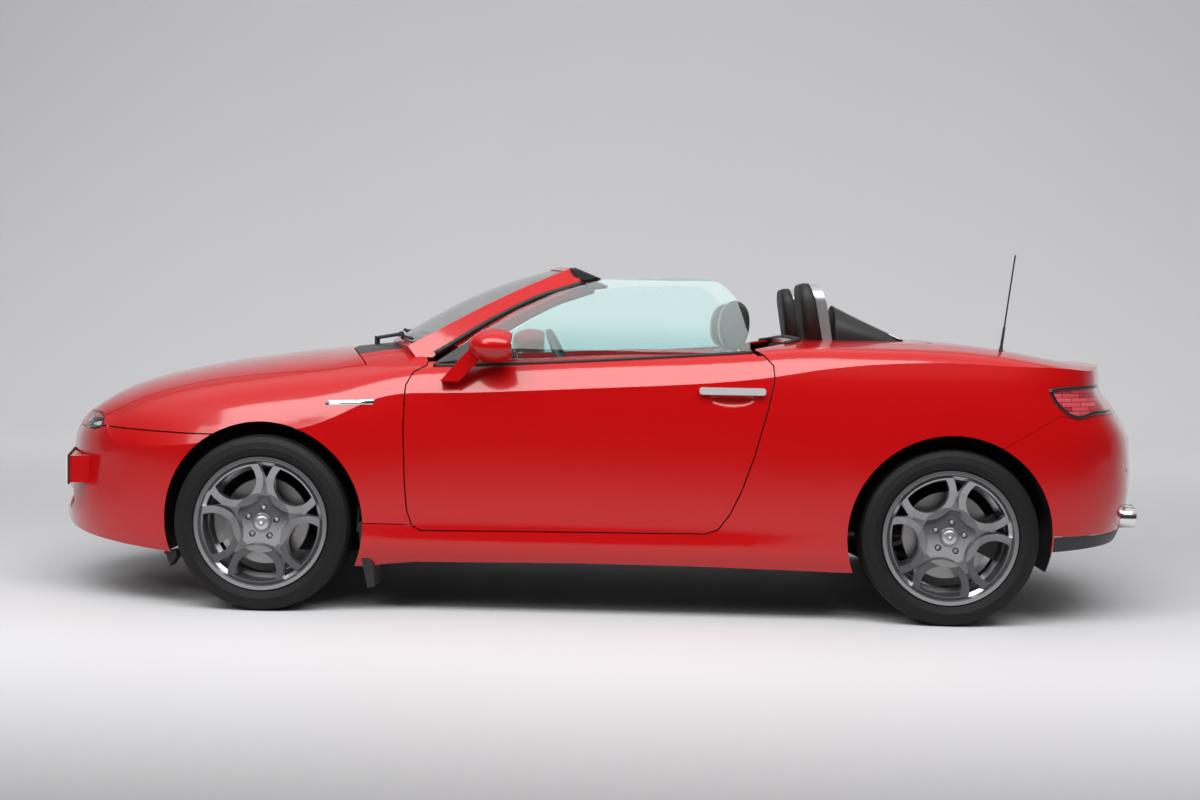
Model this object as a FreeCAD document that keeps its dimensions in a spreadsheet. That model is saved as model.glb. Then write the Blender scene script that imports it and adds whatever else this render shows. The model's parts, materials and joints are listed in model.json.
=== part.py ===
import FreeCAD, Part
import math
import os
import Sketcher
from FreeCAD import Placement, Rotation, Vector

# Two-seat convertible car, nose towards -X, car's right towards +Y, ground at z 0.

doc = FreeCAD.newDocument("convertible")
sheet = doc.addObject("Spreadsheet::Sheet", "Sizes")

# Driving sizes in millimetres and degrees

SIZES = [
    ("front_axle", -1206.5),
    ("rear_axle", 1318.5),
    ("front_track", 1579),
    ("rear_track", 1559),
    ("tyre_radius", 325),
    ("tyre_width", 226),
    ("rim_radius", 246),
    ("rim_width", 210),
    ("bead_radius", 228),
    ("arch_radius", 375),
    ("liner_radius", 398),
    ("hub_radius", 66),
    ("loop_centre", 186),
    ("loop_inner", 77),
    ("loop_outer", 103),
    ("window_edge", 214),
    ("bolt_circle", 110),
    ("disc_radius", 160),
    ("disc_thick", 26),
    ("skin_thick", 8),
    ("lid_thick", 18),
    ("panel_gap", 5),
    ("door_inner", 775),
    ("pane_thick", 5),
    ("floor_low", 200),
    ("floor_thick", 16),
    ("kingpin", 710),
    ("seat_centre", 372),
    ("seat_width", 500),
    ("wheel_tilt", 25),
    ("steering_radius", 185),
    ("hoop_centre", 420),
    ("pipe_radius", 27),
]
for row, (alias, value) in enumerate(SIZES, 1):
    sheet.set("A%d" % row, alias)
    sheet.set("B%d" % row, str(value))
    sheet.setAlias("B%d" % row, alias)
doc.recompute()


def size(alias):
    return float(sheet.get(alias))


def value_of(text):
    """Number for a plain number or for an expression on the sheet."""
    if isinstance(text, (int, float)):
        return float(text)
    result = sheet.evalExpression(text)
    return float(getattr(result, "Value", result))


def bind(item, prop, text):
    """Set a property, bound to the sheet where the value is an expression."""
    if isinstance(text, (int, float)):
        target = item
        names = prop.split(".")
        if len(names) == 1:
            setattr(target, prop, text)
        else:
            item.setExpression(prop, str(text))
    else:
        item.setExpression(prop, text)


def place(item, x=0, y=0, z=0, rotation=None):
    if rotation is not None:
        item.Placement = Placement(Vector(0, 0, 0), rotation)
    for axis, text in (("x", x), ("y", y), ("z", z)):
        item.setExpression("Placement.Base.%s" % axis, str(text))
    return item


def finish(item, label):
    item.Label = label
    return item


# Primitives and booleans bound to the sheet


def box(name, length, width, height, x, y, z, rotation=None):
    item = doc.addObject("Part::Box", name)
    bind(item, "Length", length)
    bind(item, "Width", width)
    bind(item, "Height", height)
    return place(item, x, y, z, rotation)


def rod(name, radius, length, x, y, z, rotation=None):
    """Cylinder that starts at the given place and runs along +Z before rotation."""
    item = doc.addObject("Part::Cylinder", name)
    bind(item, "Radius", radius)
    bind(item, "Height", length)
    return place(item, x, y, z, rotation)


def fuse(name, items):
    item = doc.addObject("Part::MultiFuse", name)
    item.Shapes = items
    return item


def cut(name, base, tool):
    item = doc.addObject("Part::Cut", name)
    item.Base = base
    item.Tool = tool
    return item


def common(name, items):
    item = doc.addObject("Part::MultiCommon", name)
    item.Shapes = items
    return item


def mirrored(name, source):
    """Copy of a left-hand piece for the right-hand side."""
    item = doc.addObject("Part::Mirroring", name)
    item.Source = source
    item.Base = Vector(0, 0, 0)
    item.Normal = Vector(0, 1, 0)
    return item


ALONG_X = Rotation(Vector(0, 1, 0), 90)
TO_LEFT = Rotation(Vector(1, 0, 0), 90)
TO_RIGHT = Rotation(Vector(1, 0, 0), -90)


# Sketched bodies


def origin_plane(body, role):
    return next(item for item in body.Origin.OriginFeatures if item.Role == role)


def sketch_on(body, name, role, loops):
    """Sketch of closed loops; a corner is (a, b) or (a, b, arc radius to the next corner)."""
    sketch = body.newObject("Sketcher::SketchObject", name)
    sketch.AttachmentSupport = [(origin_plane(body, role), "")]
    sketch.MapMode = "FlatFace"
    for loop in loops:
        corners = [Vector(value_of(c[0]), value_of(c[1]), 0) for c in loop]
        first = sketch.GeometryCount
        count = len(corners)
        for i, corner in enumerate(loop):
            start, end = corners[i], corners[(i + 1) % count]
            if len(corner) > 2:
                middle = arc_middle(start, end, value_of(corner[2]))
                sketch.addGeometry(Part.Arc(start, middle, end), False)
            else:
                sketch.addGeometry(Part.LineSegment(start, end), False)
        for i, corner in enumerate(loop):
            pin_corner(sketch, first, i, loop, corners)
    return sketch


def arc_middle(start, end, radius):
    """Middle of the arc between two points; a negative radius bends it the other way."""
    chord = end - start
    half = chord.Length / 2
    rise = abs(radius) - math.sqrt(max(radius * radius - half * half, 0))
    side = Vector(chord.y, -chord.x, 0).normalize() * math.copysign(rise, radius)
    return (start + end) * 0.5 + side


def pin_corner(sketch, first, i, loop, corners):
    """Bind one corner, and the arc that starts there, to the sheet."""
    count = len(corners)
    corner = loop[i]
    here = first + i
    after = first + (i + 1) % count
    starts = arc_flips(sketch, here, corners[i])
    ends = 3 - starts
    next_start = arc_flips(sketch, after, corners[(i + 1) % count])
    sketch.addConstraint(Sketcher.Constraint("Coincident", here, ends, after, next_start))
    for kind, text, number in (("DistanceX", corner[0], corners[i].x),
                               ("DistanceY", corner[1], corners[i].y)):
        index = sketch.addConstraint(Sketcher.Constraint(kind, -1, 1, here, starts, number))
        if not isinstance(text, (int, float)):
            sketch.setExpression("Constraints[%d]" % index, text)
    if len(corner) > 2:
        radius = abs(value_of(corner[2]))
        chord = (corners[(i + 1) % count] - corners[i]).Length
        if abs(chord - 2 * radius) < 0.001:
            # Half circle on an upright chord: its centre keeps the corner's place
            rule = Sketcher.Constraint("DistanceX", -1, 1, here, 3, corners[i].x)
            text = corner[0]
        else:
            rule = Sketcher.Constraint("Radius", here, radius)
            text = "abs(%s)" % corner[2]
        index = sketch.addConstraint(rule)
        if not isinstance(corner[2], (int, float)):
            sketch.setExpression("Constraints[%d]" % index, text)


def arc_flips(sketch, index, start):
    """End number (1 or 2) of a curve that lies on the given point."""
    near = (sketch.Geometry[index].StartPoint - start).Length
    far = (sketch.Geometry[index].EndPoint - start).Length
    return 1 if near <= far else 2


def padded_body(name, role, loops, length, midplane=False, reverse=False):
    body = doc.addObject("PartDesign::Body", name)
    sketch = sketch_on(body, name + "_outline", role, loops)
    pad = body.newObject("PartDesign::Pad", name + "_pad")
    pad.Profile = sketch
    bind(pad, "Length", length)
    pad.Midplane = midplane
    pad.Reversed = reverse
    return body


def turned_body(name, loops):
    """Body turned about its own Z axis from a half profile of (radius, height) corners."""
    body = doc.addObject("PartDesign::Body", name)
    sketch = sketch_on(body, name + "_profile", "XZ_Plane", loops)
    turn = body.newObject("PartDesign::Revolution", name + "_turn")
    turn.Profile = sketch
    turn.ReferenceAxis = (sketch, ["V_Axis"])
    turn.Angle = 360
    return body


# Free curves for the body skin


def smooth(pairs, t):
    """Height at t of a smooth curve through (place, height) pairs that never overshoots."""
    if t <= pairs[0][0]:
        return pairs[0][1]
    if t >= pairs[-1][0]:
        return pairs[-1][1]
    i = max(k for k in range(len(pairs) - 1) if pairs[k][0] <= t)

    def slope(k):
        return (pairs[k + 1][1] - pairs[k][1]) / (pairs[k + 1][0] - pairs[k][0])

    here = slope(i)
    before = slope(i - 1) if i > 0 else here
    after = slope(i + 1) if i < len(pairs) - 2 else here
    start = 0 if before * here <= 0 else 2 * before * here / (before + here)
    end = 0 if after * here <= 0 else 2 * after * here / (after + here)
    (x0, y0), (x1, y1) = pairs[i], pairs[i + 1]
    width = x1 - x0
    u = (t - x0) / width
    return (y0 * (1 + 2 * u) * (1 - u) ** 2 + y1 * u * u * (3 - 2 * u)
            + start * width * u * (1 - u) ** 2 - end * width * u * u * (1 - u))


def net_face(net):
    """Smooth face drawn by a net of guide points."""
    rows, columns = len(net), len(net[0])
    surface = Part.BSplineSurface()
    surface.buildFromPolesMultsKnots(
        net, [4] + [1] * (rows - 4) + [4], [4] + [1] * (columns - 4) + [4],
        list(range(rows - 2)), list(range(columns - 2)), False, False, 3, 3)
    return surface.toShape()


# Plan outline of the widest line, from nose to tail
PLAN = [(-2190, 0), (-2170, 180), (-2127, 317), (-2060, 480), (-1950, 640), (-1800, 762),
        (-1600, 850), (-1400, 886), (-1200, 902), (-900, 897), (-600, 894), (-300, 895),
        (0, 898), (300, 901), (600, 904), (1000, 909), (1300, 914), (1600, 898), (1785, 858),
        (1905, 790), (1990, 700), (2064, 545), (2136, 300), (2174, 150), (2188, 0)]
HEIGHTS = [100, 160, 200, 240, 275, 305, 335, 400, 500, 600, 680, 740, 800, 850, 900, 950, 1020,
           1150]

# How far the side draws in from the plan outline at each height
NOSE = [(100, 80), (215, 12), (258, 3), (327, 0), (449, 10), (524, 28), (572, 26), (618, 29),
        (660, 62), (714, 80), (760, 125), (900, 240), (1200, 420)]
FRONT_WING = [(100, 90), (180, 44), (240, 22), (310, 16), (400, 9), (520, 2), (640, 0), (720, 6),
              (780, 22), (840, 56), (900, 112), (960, 180), (1150, 400)]
DOOR_SIDE = [(100, 95), (180, 44), (215, 26), (250, 16), (280, 12), (300, 16), (320, 21),
             (400, 15), (520, 8), (640, 3), (760, 0), (860, 0), (900, 4), (950, 20), (1200, 60)]
REAR_WING = [(100, 90), (180, 48), (240, 30), (310, 20), (400, 12), (520, 4), (640, 0), (760, 2),
             (860, 10), (905, 16), (950, 30), (1200, 80)]
TAIL = [(100, 120), (240, 80), (305, 45), (389, 18), (437, 5), (478, 0), (516, 8), (641, 12),
        (704, 25), (735, 48), (796, 88), (858, 140), (890, 136), (950, 142), (1200, 190)]


def side_inset(index, x, z):
    nose = smooth([(0, 1), (3, 1), (6, 0)], index)
    tail = smooth([(17, 0), (19.5, 0.75), (21, 1)], index)
    front = smooth([(-1050, 1), (-680, 0)], x)
    rear = smooth([(500, 0), (1000, 1)], x)
    side = (front * smooth(FRONT_WING, z) + rear * smooth(REAR_WING, z)
            + (1 - front - rear) * smooth(DOOR_SIDE, z))
    return side * (1 - nose - tail) + nose * smooth(NOSE, z) + tail * smooth(TAIL, z)


def side_volume(inset):
    """Right-hand half of the body inside its side skin, without its top."""
    net = []
    last = len(PLAN) - 1
    for index, (x, y) in enumerate(PLAN):
        before = PLAN[index - 1] if index else (PLAN[1][0], -PLAN[1][1])
        after = PLAN[index + 1] if index < last else (PLAN[-2][0], -PLAN[-2][1])
        along = Vector(after[0] - before[0], after[1] - before[1], 0).normalize()
        outward = Vector(-along.y, along.x, 0)
        net.append([Vector(x, y, z) - outward * (side_inset(index, x, z) + inset)
                    for z in HEIGHTS])
    for end, near in ((0, 1), (-1, -2)):
        net[end] = [Vector(p.x, 0, p.z) for p in net[end]]
        net[near] = [Vector(p.x, q.y, p.z) for p, q in zip(net[end], net[near])]
    skin = net_face(net)
    low = next(e for e in skin.Edges if e.BoundBox.ZMax < HEIGHTS[0] + 0.01)
    high = next(e for e in skin.Edges if e.BoundBox.ZMin > HEIGHTS[-1] - 0.01)
    ends = [e for e in skin.Edges if e.BoundBox.YMax < 0.01]
    closing = [Part.makeLine(e.Vertexes[0].Point, e.Vertexes[-1].Point) for e in (low, high)]
    faces = [skin, Part.Face(Part.Wire([low, closing[0]])), Part.Face(Part.Wire([high, closing[1]]))]
    faces.append(Part.Face(Part.Wire(Part.__sortEdges__(ends + closing))))
    return outward_solid(Part.makeSolid(Part.makeShell(faces)))


def outward_solid(solid):
    if solid.Volume < 0:
        solid.reverse()
    return solid


def half_width(x):
    return smooth(PLAN, max(-1850, min(1950, x)))


# Heights along the car: middle line, shoulder crease and waist line
MIDDLE = [(-2260, 470), (-2190, 560), (-2125, 640), (-2075, 706), (-1990, 765), (-1900, 811),
          (-1747, 857), (-1594, 891), (-1441, 919), (-1288, 940), (-1135, 962), (-1008, 973),
          (-900, 987), (-818, 998), (-600, 1000), (0, 1005), (700, 1030), (800, 1043),
          (1123, 1042), (1274, 1041), (1455, 1030), (1592, 1011), (1728, 985), (1819, 970),
          (1900, 962), (1960, 962), (2010, 960), (2040, 945), (2062, 905), (2110, 840),
          (2260, 700)]
CREASE = [(-2200, 640), (-1000, 790), (-684, 808), (0, 845), (400, 865), (665, 880),
          (1293, 905), (1900, 900), (2100, 880)]
WAIST = [(-1000, 905), (-612, 925), (-336, 938), (-94, 953), (104, 964), (359, 975),
         (603, 992), (783, 1010), (1123, 1010), (1274, 1008), (1455, 998), (1600, 975),
         (1819, 940), (1900, 925), (2100, 900)]
BONNET_FALL = [(0, 0), (250, 8), (450, 28), (600, 55), (700, 85), (760, 112), (800, 140),
               (830, 170), (860, 215), (890, 280), (920, 370), (1000, 600)]
ACROSS = [0, .2, .4, .55, .66, .74, .8, .85, .89, .92, .95, .975, 1.0, 1.03, 1.08, 1.15]
STATIONS = ([-2260, -2215, -2160, -2110, -2060, -2000, -1930, -1850, -1750]
            + list(range(-1600, 451, 150)) + [600, 750, 850, 1000, 1150, 1300, 1450, 1600]
            + [1720, 1820, 1900, 1950, 1990, 2015, 2035, 2060, 2110, 2260])


def top_height(x, across):
    """Height of the top skin at a share of the half width."""
    middle = smooth(MIDDLE, x)
    front = middle - smooth(BONNET_FALL, across * 900)
    if x < -1700:
        front -= ((-1700 - x) / 300) ** 2 * across ** 2 * 60
    crease, waist = smooth(CREASE, x), smooth(WAIST, x)
    fall = smooth([(.885, 0), (.94, .17), (.975, .62), (1.0, 1), (1.06, 2), (1.15, 4)], across)
    crown = smooth([(0, 1), (.66, .75), (.885, 0)], across)
    rear = waist - (waist - crease) * fall + max(0, middle - waist) * crown
    share = smooth([(-1050, 0), (-680, 1)], x)
    return front * (1 - share) + rear * share


def top_volume(inset):
    """Everything below the top skin."""
    net = []
    for x in STATIONS:
        width = half_width(x) - inset
        net.append([Vector(x, share * width, top_height(x, abs(share)) - inset)
                    for share in [-s for s in ACROSS[:0:-1]] + ACROSS])
    return outward_solid(net_face(net).extrude(Vector(0, 0, -1100)))


def body_half(inset):
    return side_volume(inset).common(top_volume(inset))


# Cutters for the panels


def prism(points, axis, low, high):
    """Straight block over an outline: (y, z) points for X, (x, z) for Y and (x, y) for Z."""
    if axis == "X":
        corners = [Vector(low, y, z) for y, z in points]
        run = Vector(high - low, 0, 0)
    elif axis == "Y":
        corners = [Vector(x, low, z) for x, z in points]
        run = Vector(0, high - low, 0)
    else:
        corners = [Vector(x, y, low) for x, y in points]
        run = Vector(0, 0, high - low)
    wire = Part.makePolygon(corners + corners[:1])
    return outward_solid(Part.Face(wire).extrude(run))


def rounded_prism(points, radius, axis, low, high):
    """Block over an outline whose corners are rounded."""
    solid = prism(points, axis, low, high)
    run = {"X": Vector(1, 0, 0), "Y": Vector(0, 1, 0), "Z": Vector(0, 0, 1)}[axis]
    edges = [e for e in solid.Edges if abs(e.tangentAt(e.FirstParameter).dot(run)) > 0.99]
    return solid.makeFillet(radius, edges)


def block(x0, x1, y0, y1, z0, z1):
    return Part.makeBox(x1 - x0, y1 - y0, z1 - z0, Vector(x0, y0, z0))


def both_sides(shape):
    return shape.fuse(shape.mirror(Vector(0, 0, 0), Vector(0, 1, 0)))


def to_left(shape):
    return shape.mirror(Vector(0, 0, 0), Vector(0, 1, 0))


def panel(name, shape):
    """Body panel that keeps its own place in the document."""
    item = doc.addObject("Part::Feature", name)
    item.Shape = shape.Solids[0] if len(shape.Solids) == 1 else shape
    return finish(item, name)


NODES = {}


def keep(name, item):
    NODES[name] = item
    item.Label = name
    return item


gap = size("panel_gap")
thick = size("skin_thick")
front_axle = size("front_axle")
rear_axle = size("rear_axle")
arch = size("arch_radius")
axle_height = size("tyre_radius")

outer = body_half(0)
inner = body_half(thick)
lid_inner = body_half(size("lid_thick"))
skin = outer.cut(inner)
lid_skin = outer.cut(lid_inner)

# Lower edge of the body seen from the side; all below it is cut away
UNDERSIDE = [(-2300, 272), (-2081, 258), (-1931, 239), (-1748, 219), (-1590, 205), (-1400, 180),
             (-804, 168), (-767, 178), (-642, 191), (-66, 200), (375, 199), (778, 191),
             (946, 187), (1400, 200), (1660, 275), (1720, 278), (1900, 290), (2300, 305),
             (2300, 0), (-2300, 0)]

arches = Part.makeCylinder(arch, 700, Vector(front_axle, 480, axle_height), Vector(0, 1, 0)).fuse(
    Part.makeCylinder(arch, 700, Vector(rear_axle, 480, axle_height), Vector(0, 1, 0)))

# Outlines of the openings, right-hand half
BONNET = [(-2300, -20), (-2300, 285), (-2042, 298), (-1968, 470), (-1885, 600), (-1800, 628),
          (-1700, 640), (-1500, 652), (-1300, 668), (-1050, 712), (-850, 735), (-900, 600), (-965, 350), (-1000, 0), (-1000, -20)]
DOOR = [(-606, 1100), (-612, 915), (-654, 892), (-679, 844), (-684, 680), (-678, 496),
        (-669, 386), (-650, 328), (-617, 310), (-103, 316), (427, 321), (474, 338), (516, 394),
        (558, 486), (602, 615), (645, 779), (668, 889), (663, 939), (630, 975), (600, 992),
        (600, 1100)]
COCKPIT = [(-795, -10), (-775, 250), (-725, 450), (-650, 640), (-610, 770), (600, 770), (700, 700), (775, 640), (775, -10)]
TONNEAU = [(765, -10), (765, 640), (830, 690), (1150, 700), (1270, 640), (1270, -10)]
BOOT = [(1280, -10), (1280, 470), (1340, 525), (1600, 540), (1850, 550), (2010, 555),
        (2300, 555), (2300, -10)]


def grown(points, amount):
    """Outline moved outwards by an amount, corner by corner."""
    wire = Part.makePolygon([Vector(a, b, 0) for a, b in points + points[:1]])
    moved = wire.makeOffset2D(amount, 2)
    return [(v.X, v.Y) for v in moved.OrderedVertexes]


skin = skin.cut(prism(UNDERSIDE, "Y", -10, 1200))
bonnet_hole = prism(grown(BONNET, gap / 2), "Z", 640 - gap / 2, 1200)
bonnet_room = prism(grown(BONNET, -gap / 2), "Z", 640 + gap / 2, 1200)
door_hole = prism(grown(DOOR, gap / 2), "Y", 700, 1100)
door_room = prism(grown(DOOR, -gap / 2), "Y", size("door_inner"), 1100)
cockpit = prism(COCKPIT, "Z", 600, 1300)
tonneau_hole = prism(grown(TONNEAU, gap / 2), "Z", 900, 1300)
tonneau_room = prism(grown(TONNEAU, -gap / 2), "Z", 900, 1300)
boot_hole = prism(grown(BOOT, gap / 2), "Z", 760, 1300)
boot_room = prism(grown(BOOT, -gap / 2), "Z", 760, 1300)


clear_inner = body_half(thick + 0.3)

# Side outlines of the panels that share the skin
BUMPER_FRONT = [(-2300, 50), (-1210, 50), (-1210, 648), (-1486, 648), (-1865, 656), (-1930, 640),
                (-2300, 640)]
WING_FRONT = [(-1880, 1200), (-1880, 656), (-1865, 658), (-1486, 650), (-1200, 650),
              (-1200, 332), (-600, 332), (-600, 1200)]
LAMP_FRONT = [(-2300, 641), (-1930, 641), (-1882, 653), (-1882, 900), (-2300, 900)]
LAMP_REAR = [(1661, 874), (1727, 881), (1873, 885), (2300, 885), (2300, 778), (1858, 778),
             (1785, 764), (1737, 776), (1692, 812)]
BUMPER_REAR = [(1320, 50), (1320, 655), (1494, 655), (1708, 778), (1785, 762), (1858, 775),
               (2300, 775), (2300, 340), (1700, 334), (1690, 50)]
VALANCE = [(1690, 50), (1700, 334), (2300, 340), (2300, 50)]
SCUTTLE = [(-1100, -10), (-1100, 655), (-600, 655), (-600, -10)]


def block_y(low):
    """Everything further out than the given distance from the middle plane."""
    return Part.makeBox(3000, 400, 1400, Vector(-1500, low, 0))


def region(points, shrink=0.0, axis="Y", low=0, high=1200):
    outline = grown(points, -shrink) if shrink else points
    return prism(outline, axis, low, high)


# Painted shell panels

door_whole = outer.common(door_room)
rest = skin.cut(Part.makeCompound([bonnet_hole])).cut(door_hole)
rest = rest.cut(tonneau_hole).cut(boot_hole).cut(cockpit).cut(arches)
seam = 1.5
bumper_shape = rest.common(region(BUMPER_FRONT, seam))
lens_shape = rest.common(region(LAMP_FRONT, seam)).cut(body_half(3))
scuttle_zone = prism(SCUTTLE, "Z", 500, 1300)
scuttle_room = prism(grown(SCUTTLE, -seam), "Z", 500, 1300)
scuttle_shape = rest.common(scuttle_room)
wing_shape = rest.common(region(WING_FRONT, seam)).cut(scuttle_zone)
lamp_rear_shape = rest.common(region(LAMP_REAR, 0.3)).common(
    Part.makeBox(900, 800, 400, Vector(1500, 520, 600)))
bumper_rear_shape = rest.common(region(BUMPER_REAR, seam))
valance_shape = rest.common(region(VALANCE, seam))
quarter = rest.cut(region(BUMPER_REAR)).cut(region(VALANCE)).cut(region(LAMP_REAR))
quarter = quarter.cut(prism([(-2300, 329), (-1206, 329), (-1206, 50), (-2300, 50)], "Y", 0, 1200))
quarter = quarter.cut(prism([(-2300, 330), (-560, 330), (-560, 1200), (-2300, 1200)], "Y", 0, 1200))
quarter = max(quarter.Solids, key=lambda solid: solid.Volume)

# Grille and air intakes in the front bumper, seen from the front
GRILLE = [(-168, 645), (168, 645), (150, 590), (22, 318), (-22, 318), (-150, 590)]
INTAKE = [(170, 300), (450, 306), (500, 350), (450, 392), (130, 392), (110, 330)]
grille_hole = prism(GRILLE, "X", -2400, -1950)
intake_hole = prism(INTAKE, "X", -2400, -1700)
bumper_full = both_sides(bumper_shape.cut(intake_hole)).cut(grille_hole)
bonnet_half = lid_skin.common(bonnet_room)
bonnet_full = both_sides(bonnet_half).cut(grille_hole)

plate_turn = Rotation(Vector(0, 0, 1), 16.3)
plate_corner = Vector(-2020, -640, 0)
stand = block(6.3, 110, 4, 516, 434, 537)
stand.Placement = Placement(plate_corner, plate_turn)
plate_room = block(-40, 6.3, -0.3, 520.3, 429.7, 541.3)
plate_room.Placement = Placement(plate_corner, plate_turn)
bumper_full = bumper_full.cut(plate_room).fuse(stand.cut(both_sides(inner)).cut(grille_hole))
keep("front_bumper", panel("front_bumper", bumper_full))
keep("bonnet", panel("bonnet", bonnet_full))
keep("front_wings", panel("front_wings", Part.makeCompound([wing_shape, to_left(wing_shape)])))
keep("headlamp_lenses", panel("headlamp_lenses", Part.makeCompound([lens_shape, to_left(lens_shape)])))
keep("scuttle_panel", panel("scuttle_panel", both_sides(scuttle_shape)))
keep("rear_wings", panel("rear_wings", Part.makeCompound([quarter, to_left(quarter)])))
keep("tail_lamps", panel("tail_lamps", Part.makeCompound([lamp_rear_shape, to_left(lamp_rear_shape)])))
tip_holes = Part.makeCylinder(43, 400, Vector(1900, 470, 380), Vector(1, 0, 0)).fuse(
    Part.makeCylinder(43, 400, Vector(1900, 568, 380), Vector(1, 0, 0)))
rear_bumper_full = both_sides(bumper_rear_shape.cut(tip_holes))
plate_recess = block(2129.7, 2300, -272, 272, 548, 683)
plate_tub = both_sides(block(2100, 2300, -10, 280, 540, 691).common(outer))
rear_bumper_full = rear_bumper_full.fuse(plate_tub).cut(plate_recess)
keep("rear_bumper", panel("rear_bumper", rear_bumper_full))
keep("rear_diffuser", panel("rear_diffuser", both_sides(valance_shape)))
keep("tonneau_cover", panel("tonneau_cover", both_sides(lid_skin.common(tonneau_room))))
keep("boot_lid", panel("boot_lid", both_sides(lid_skin.common(boot_room))))

# Doors, each one piece as thick as the whole door, with a slot for the pane
HINGE_X, HINGE_Y = -592, 868
HINGE_HEIGHTS = (438, 756)
PANE_BEND = 1500
pane_foot = Vector(-650, 812, 900)


def pane_sheet(outer_swell, inner_swell):
    """Curved sheet that leans inwards, from which a door pane or its slot is cut."""
    axis = pane_foot - Vector(0, PANE_BEND, 0)
    sheet_solid = Part.makeCylinder(PANE_BEND + outer_swell, 1300, axis, Vector(1, 0, 0))
    core = Part.makeCylinder(PANE_BEND - size("pane_thick") - inner_swell, 1300, axis,
                             Vector(1, 0, 0))
    sheet_solid = sheet_solid.cut(core)
    sheet_solid.rotate(pane_foot, Vector(1, 0, 0), 17)
    return sheet_solid


door_slot = prism([(801, 899.7), (817.5, 899.7), (782, 1015), (758, 1015)], "X", -620, 605)
door_step = prism(grown(DOOR, -gap / 2 - 10), "Y", 700, 1100).fuse(
    prism([(-700, 300), (-700, 1100), (300, 1100), (300, 300)], "Y", 700, 1100))
door_lip = block_y(845)
door_whole = door_whole.cut(door_slot)
door_whole = door_whole.common(door_step.fuse(door_lip))
door_whole = door_whole.cut(prism([(-760, 700), (-610, 700), (-640, 775), (-690, 820), (-760, 820)],
                                  "Z", 200, 845))
for height in HINGE_HEIGHTS:
    swing = Part.makeCylinder(146, 28, Vector(HINGE_X, HINGE_Y, height - 14))
    swing = swing.common(block(-800, HINGE_X + 27, 700, 881, 200, 1000))
    pin_hole = Part.makeCylinder(8.3, 52, Vector(HINGE_X, HINGE_Y, height - 26))
    door_whole = door_whole.cut(swing).cut(pin_hole)
scoop = doc.addObject("Part::Ellipsoid", "handle_scoop")
scoop.Radius1 = 36
scoop.Radius2 = 84
scoop.Radius3 = 18
place(scoop, 515, 908, 818)
doc.recompute()
door_whole = door_whole.cut(scoop.Shape)
keep("door_right", panel("door_right", door_whole))
keep("door_left", panel("door_left", to_left(door_whole)))
bar_outer = body_half(-17)
bar = rounded_prism([(395, 832), (395, 858), (635, 858), (635, 832)], 10, "Y", 850, 960)
feet = Part.makeCompound([block(x, x + 24, 850, 960, 835, 855) for x in (402, 604)])
handle = bar.common(bar_outer).cut(body_half(-6))
handle = handle.fuse(feet.common(body_half(-8)).cut(body_half(-0.3)))
keep("handle_right", panel("handle_right", handle))
keep("handle_left", panel("handle_left", to_left(handle)))

doc.recompute()

# Road wheel, drawn about its own axle with the outer face towards +Z


def loop_outline(radius, edge):
    """U-shaped outline of one loop, whose open end is an arc about the axle."""
    centre = "Sizes.loop_centre"
    reach = "sqrt((%s) ^ 2 - %s ^ 2)" % (edge, radius)
    return [(centre, "-" + radius), (reach, "-" + radius, edge), (reach, radius),
            (centre, radius, radius)]


def on_spoke(along, across):
    """Place on the spoke between two loops, turned by half of the five-fold step."""
    cosine, sine = math.cos(math.radians(36)), math.sin(math.radians(36))
    return ("%s * %.6f - %s * %.6f" % (along, cosine, across, sine),
            "%s * %.6f + %s * %.6f" % (along, sine, across, cosine))


def around(body, feature, sketch, name):
    """Repeat a feature five times about the axle."""
    pattern = body.newObject("PartDesign::PolarPattern", name)
    pattern.Originals = [feature]
    pattern.Axis = (sketch, ["N_Axis"])
    pattern.Angle = 360
    pattern.Occurrences = 5
    body.Tip = pattern
    return pattern


def drilled(body, name, radius_text, at, low, angle):
    """Five round holes open towards the outer face, one of them at the given angle."""
    sketch = body.newObject("Sketcher::SketchObject", name + "_circle")
    sketch.AttachmentSupport = [(origin_plane(body, "XY_Plane"), "")]
    sketch.MapMode = "FlatFace"
    sketch.AttachmentOffset = Placement(Vector(0, 0, low), Rotation())
    turn = math.radians(angle)
    centre = Vector(value_of(at) * math.cos(turn), value_of(at) * math.sin(turn), 0)
    radius = value_of(radius_text)
    sketch.addGeometry(Part.Circle(centre, Vector(0, 0, 1), radius), False)
    rules = (("DistanceX", centre.x, "(%s) * cos(%g)" % (at, angle)),
             ("DistanceY", centre.y, "(%s) * sin(%g)" % (at, angle)))
    for kind, number, text in rules:
        index = sketch.addConstraint(Sketcher.Constraint(kind, -1, 1, 0, 3, number))
        sketch.setExpression("Constraints[%d]" % index, text)
    index = sketch.addConstraint(Sketcher.Constraint("Radius", 0, radius))
    if not isinstance(radius_text, (int, float)):
        sketch.setExpression("Constraints[%d]" % index, radius_text)
    pocket = body.newObject("PartDesign::Pocket", name + "_hole")
    pocket.Profile = sketch
    pocket.Length = 120 - low
    pocket.Reversed = True
    return around(body, pocket, sketch, name)


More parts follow.
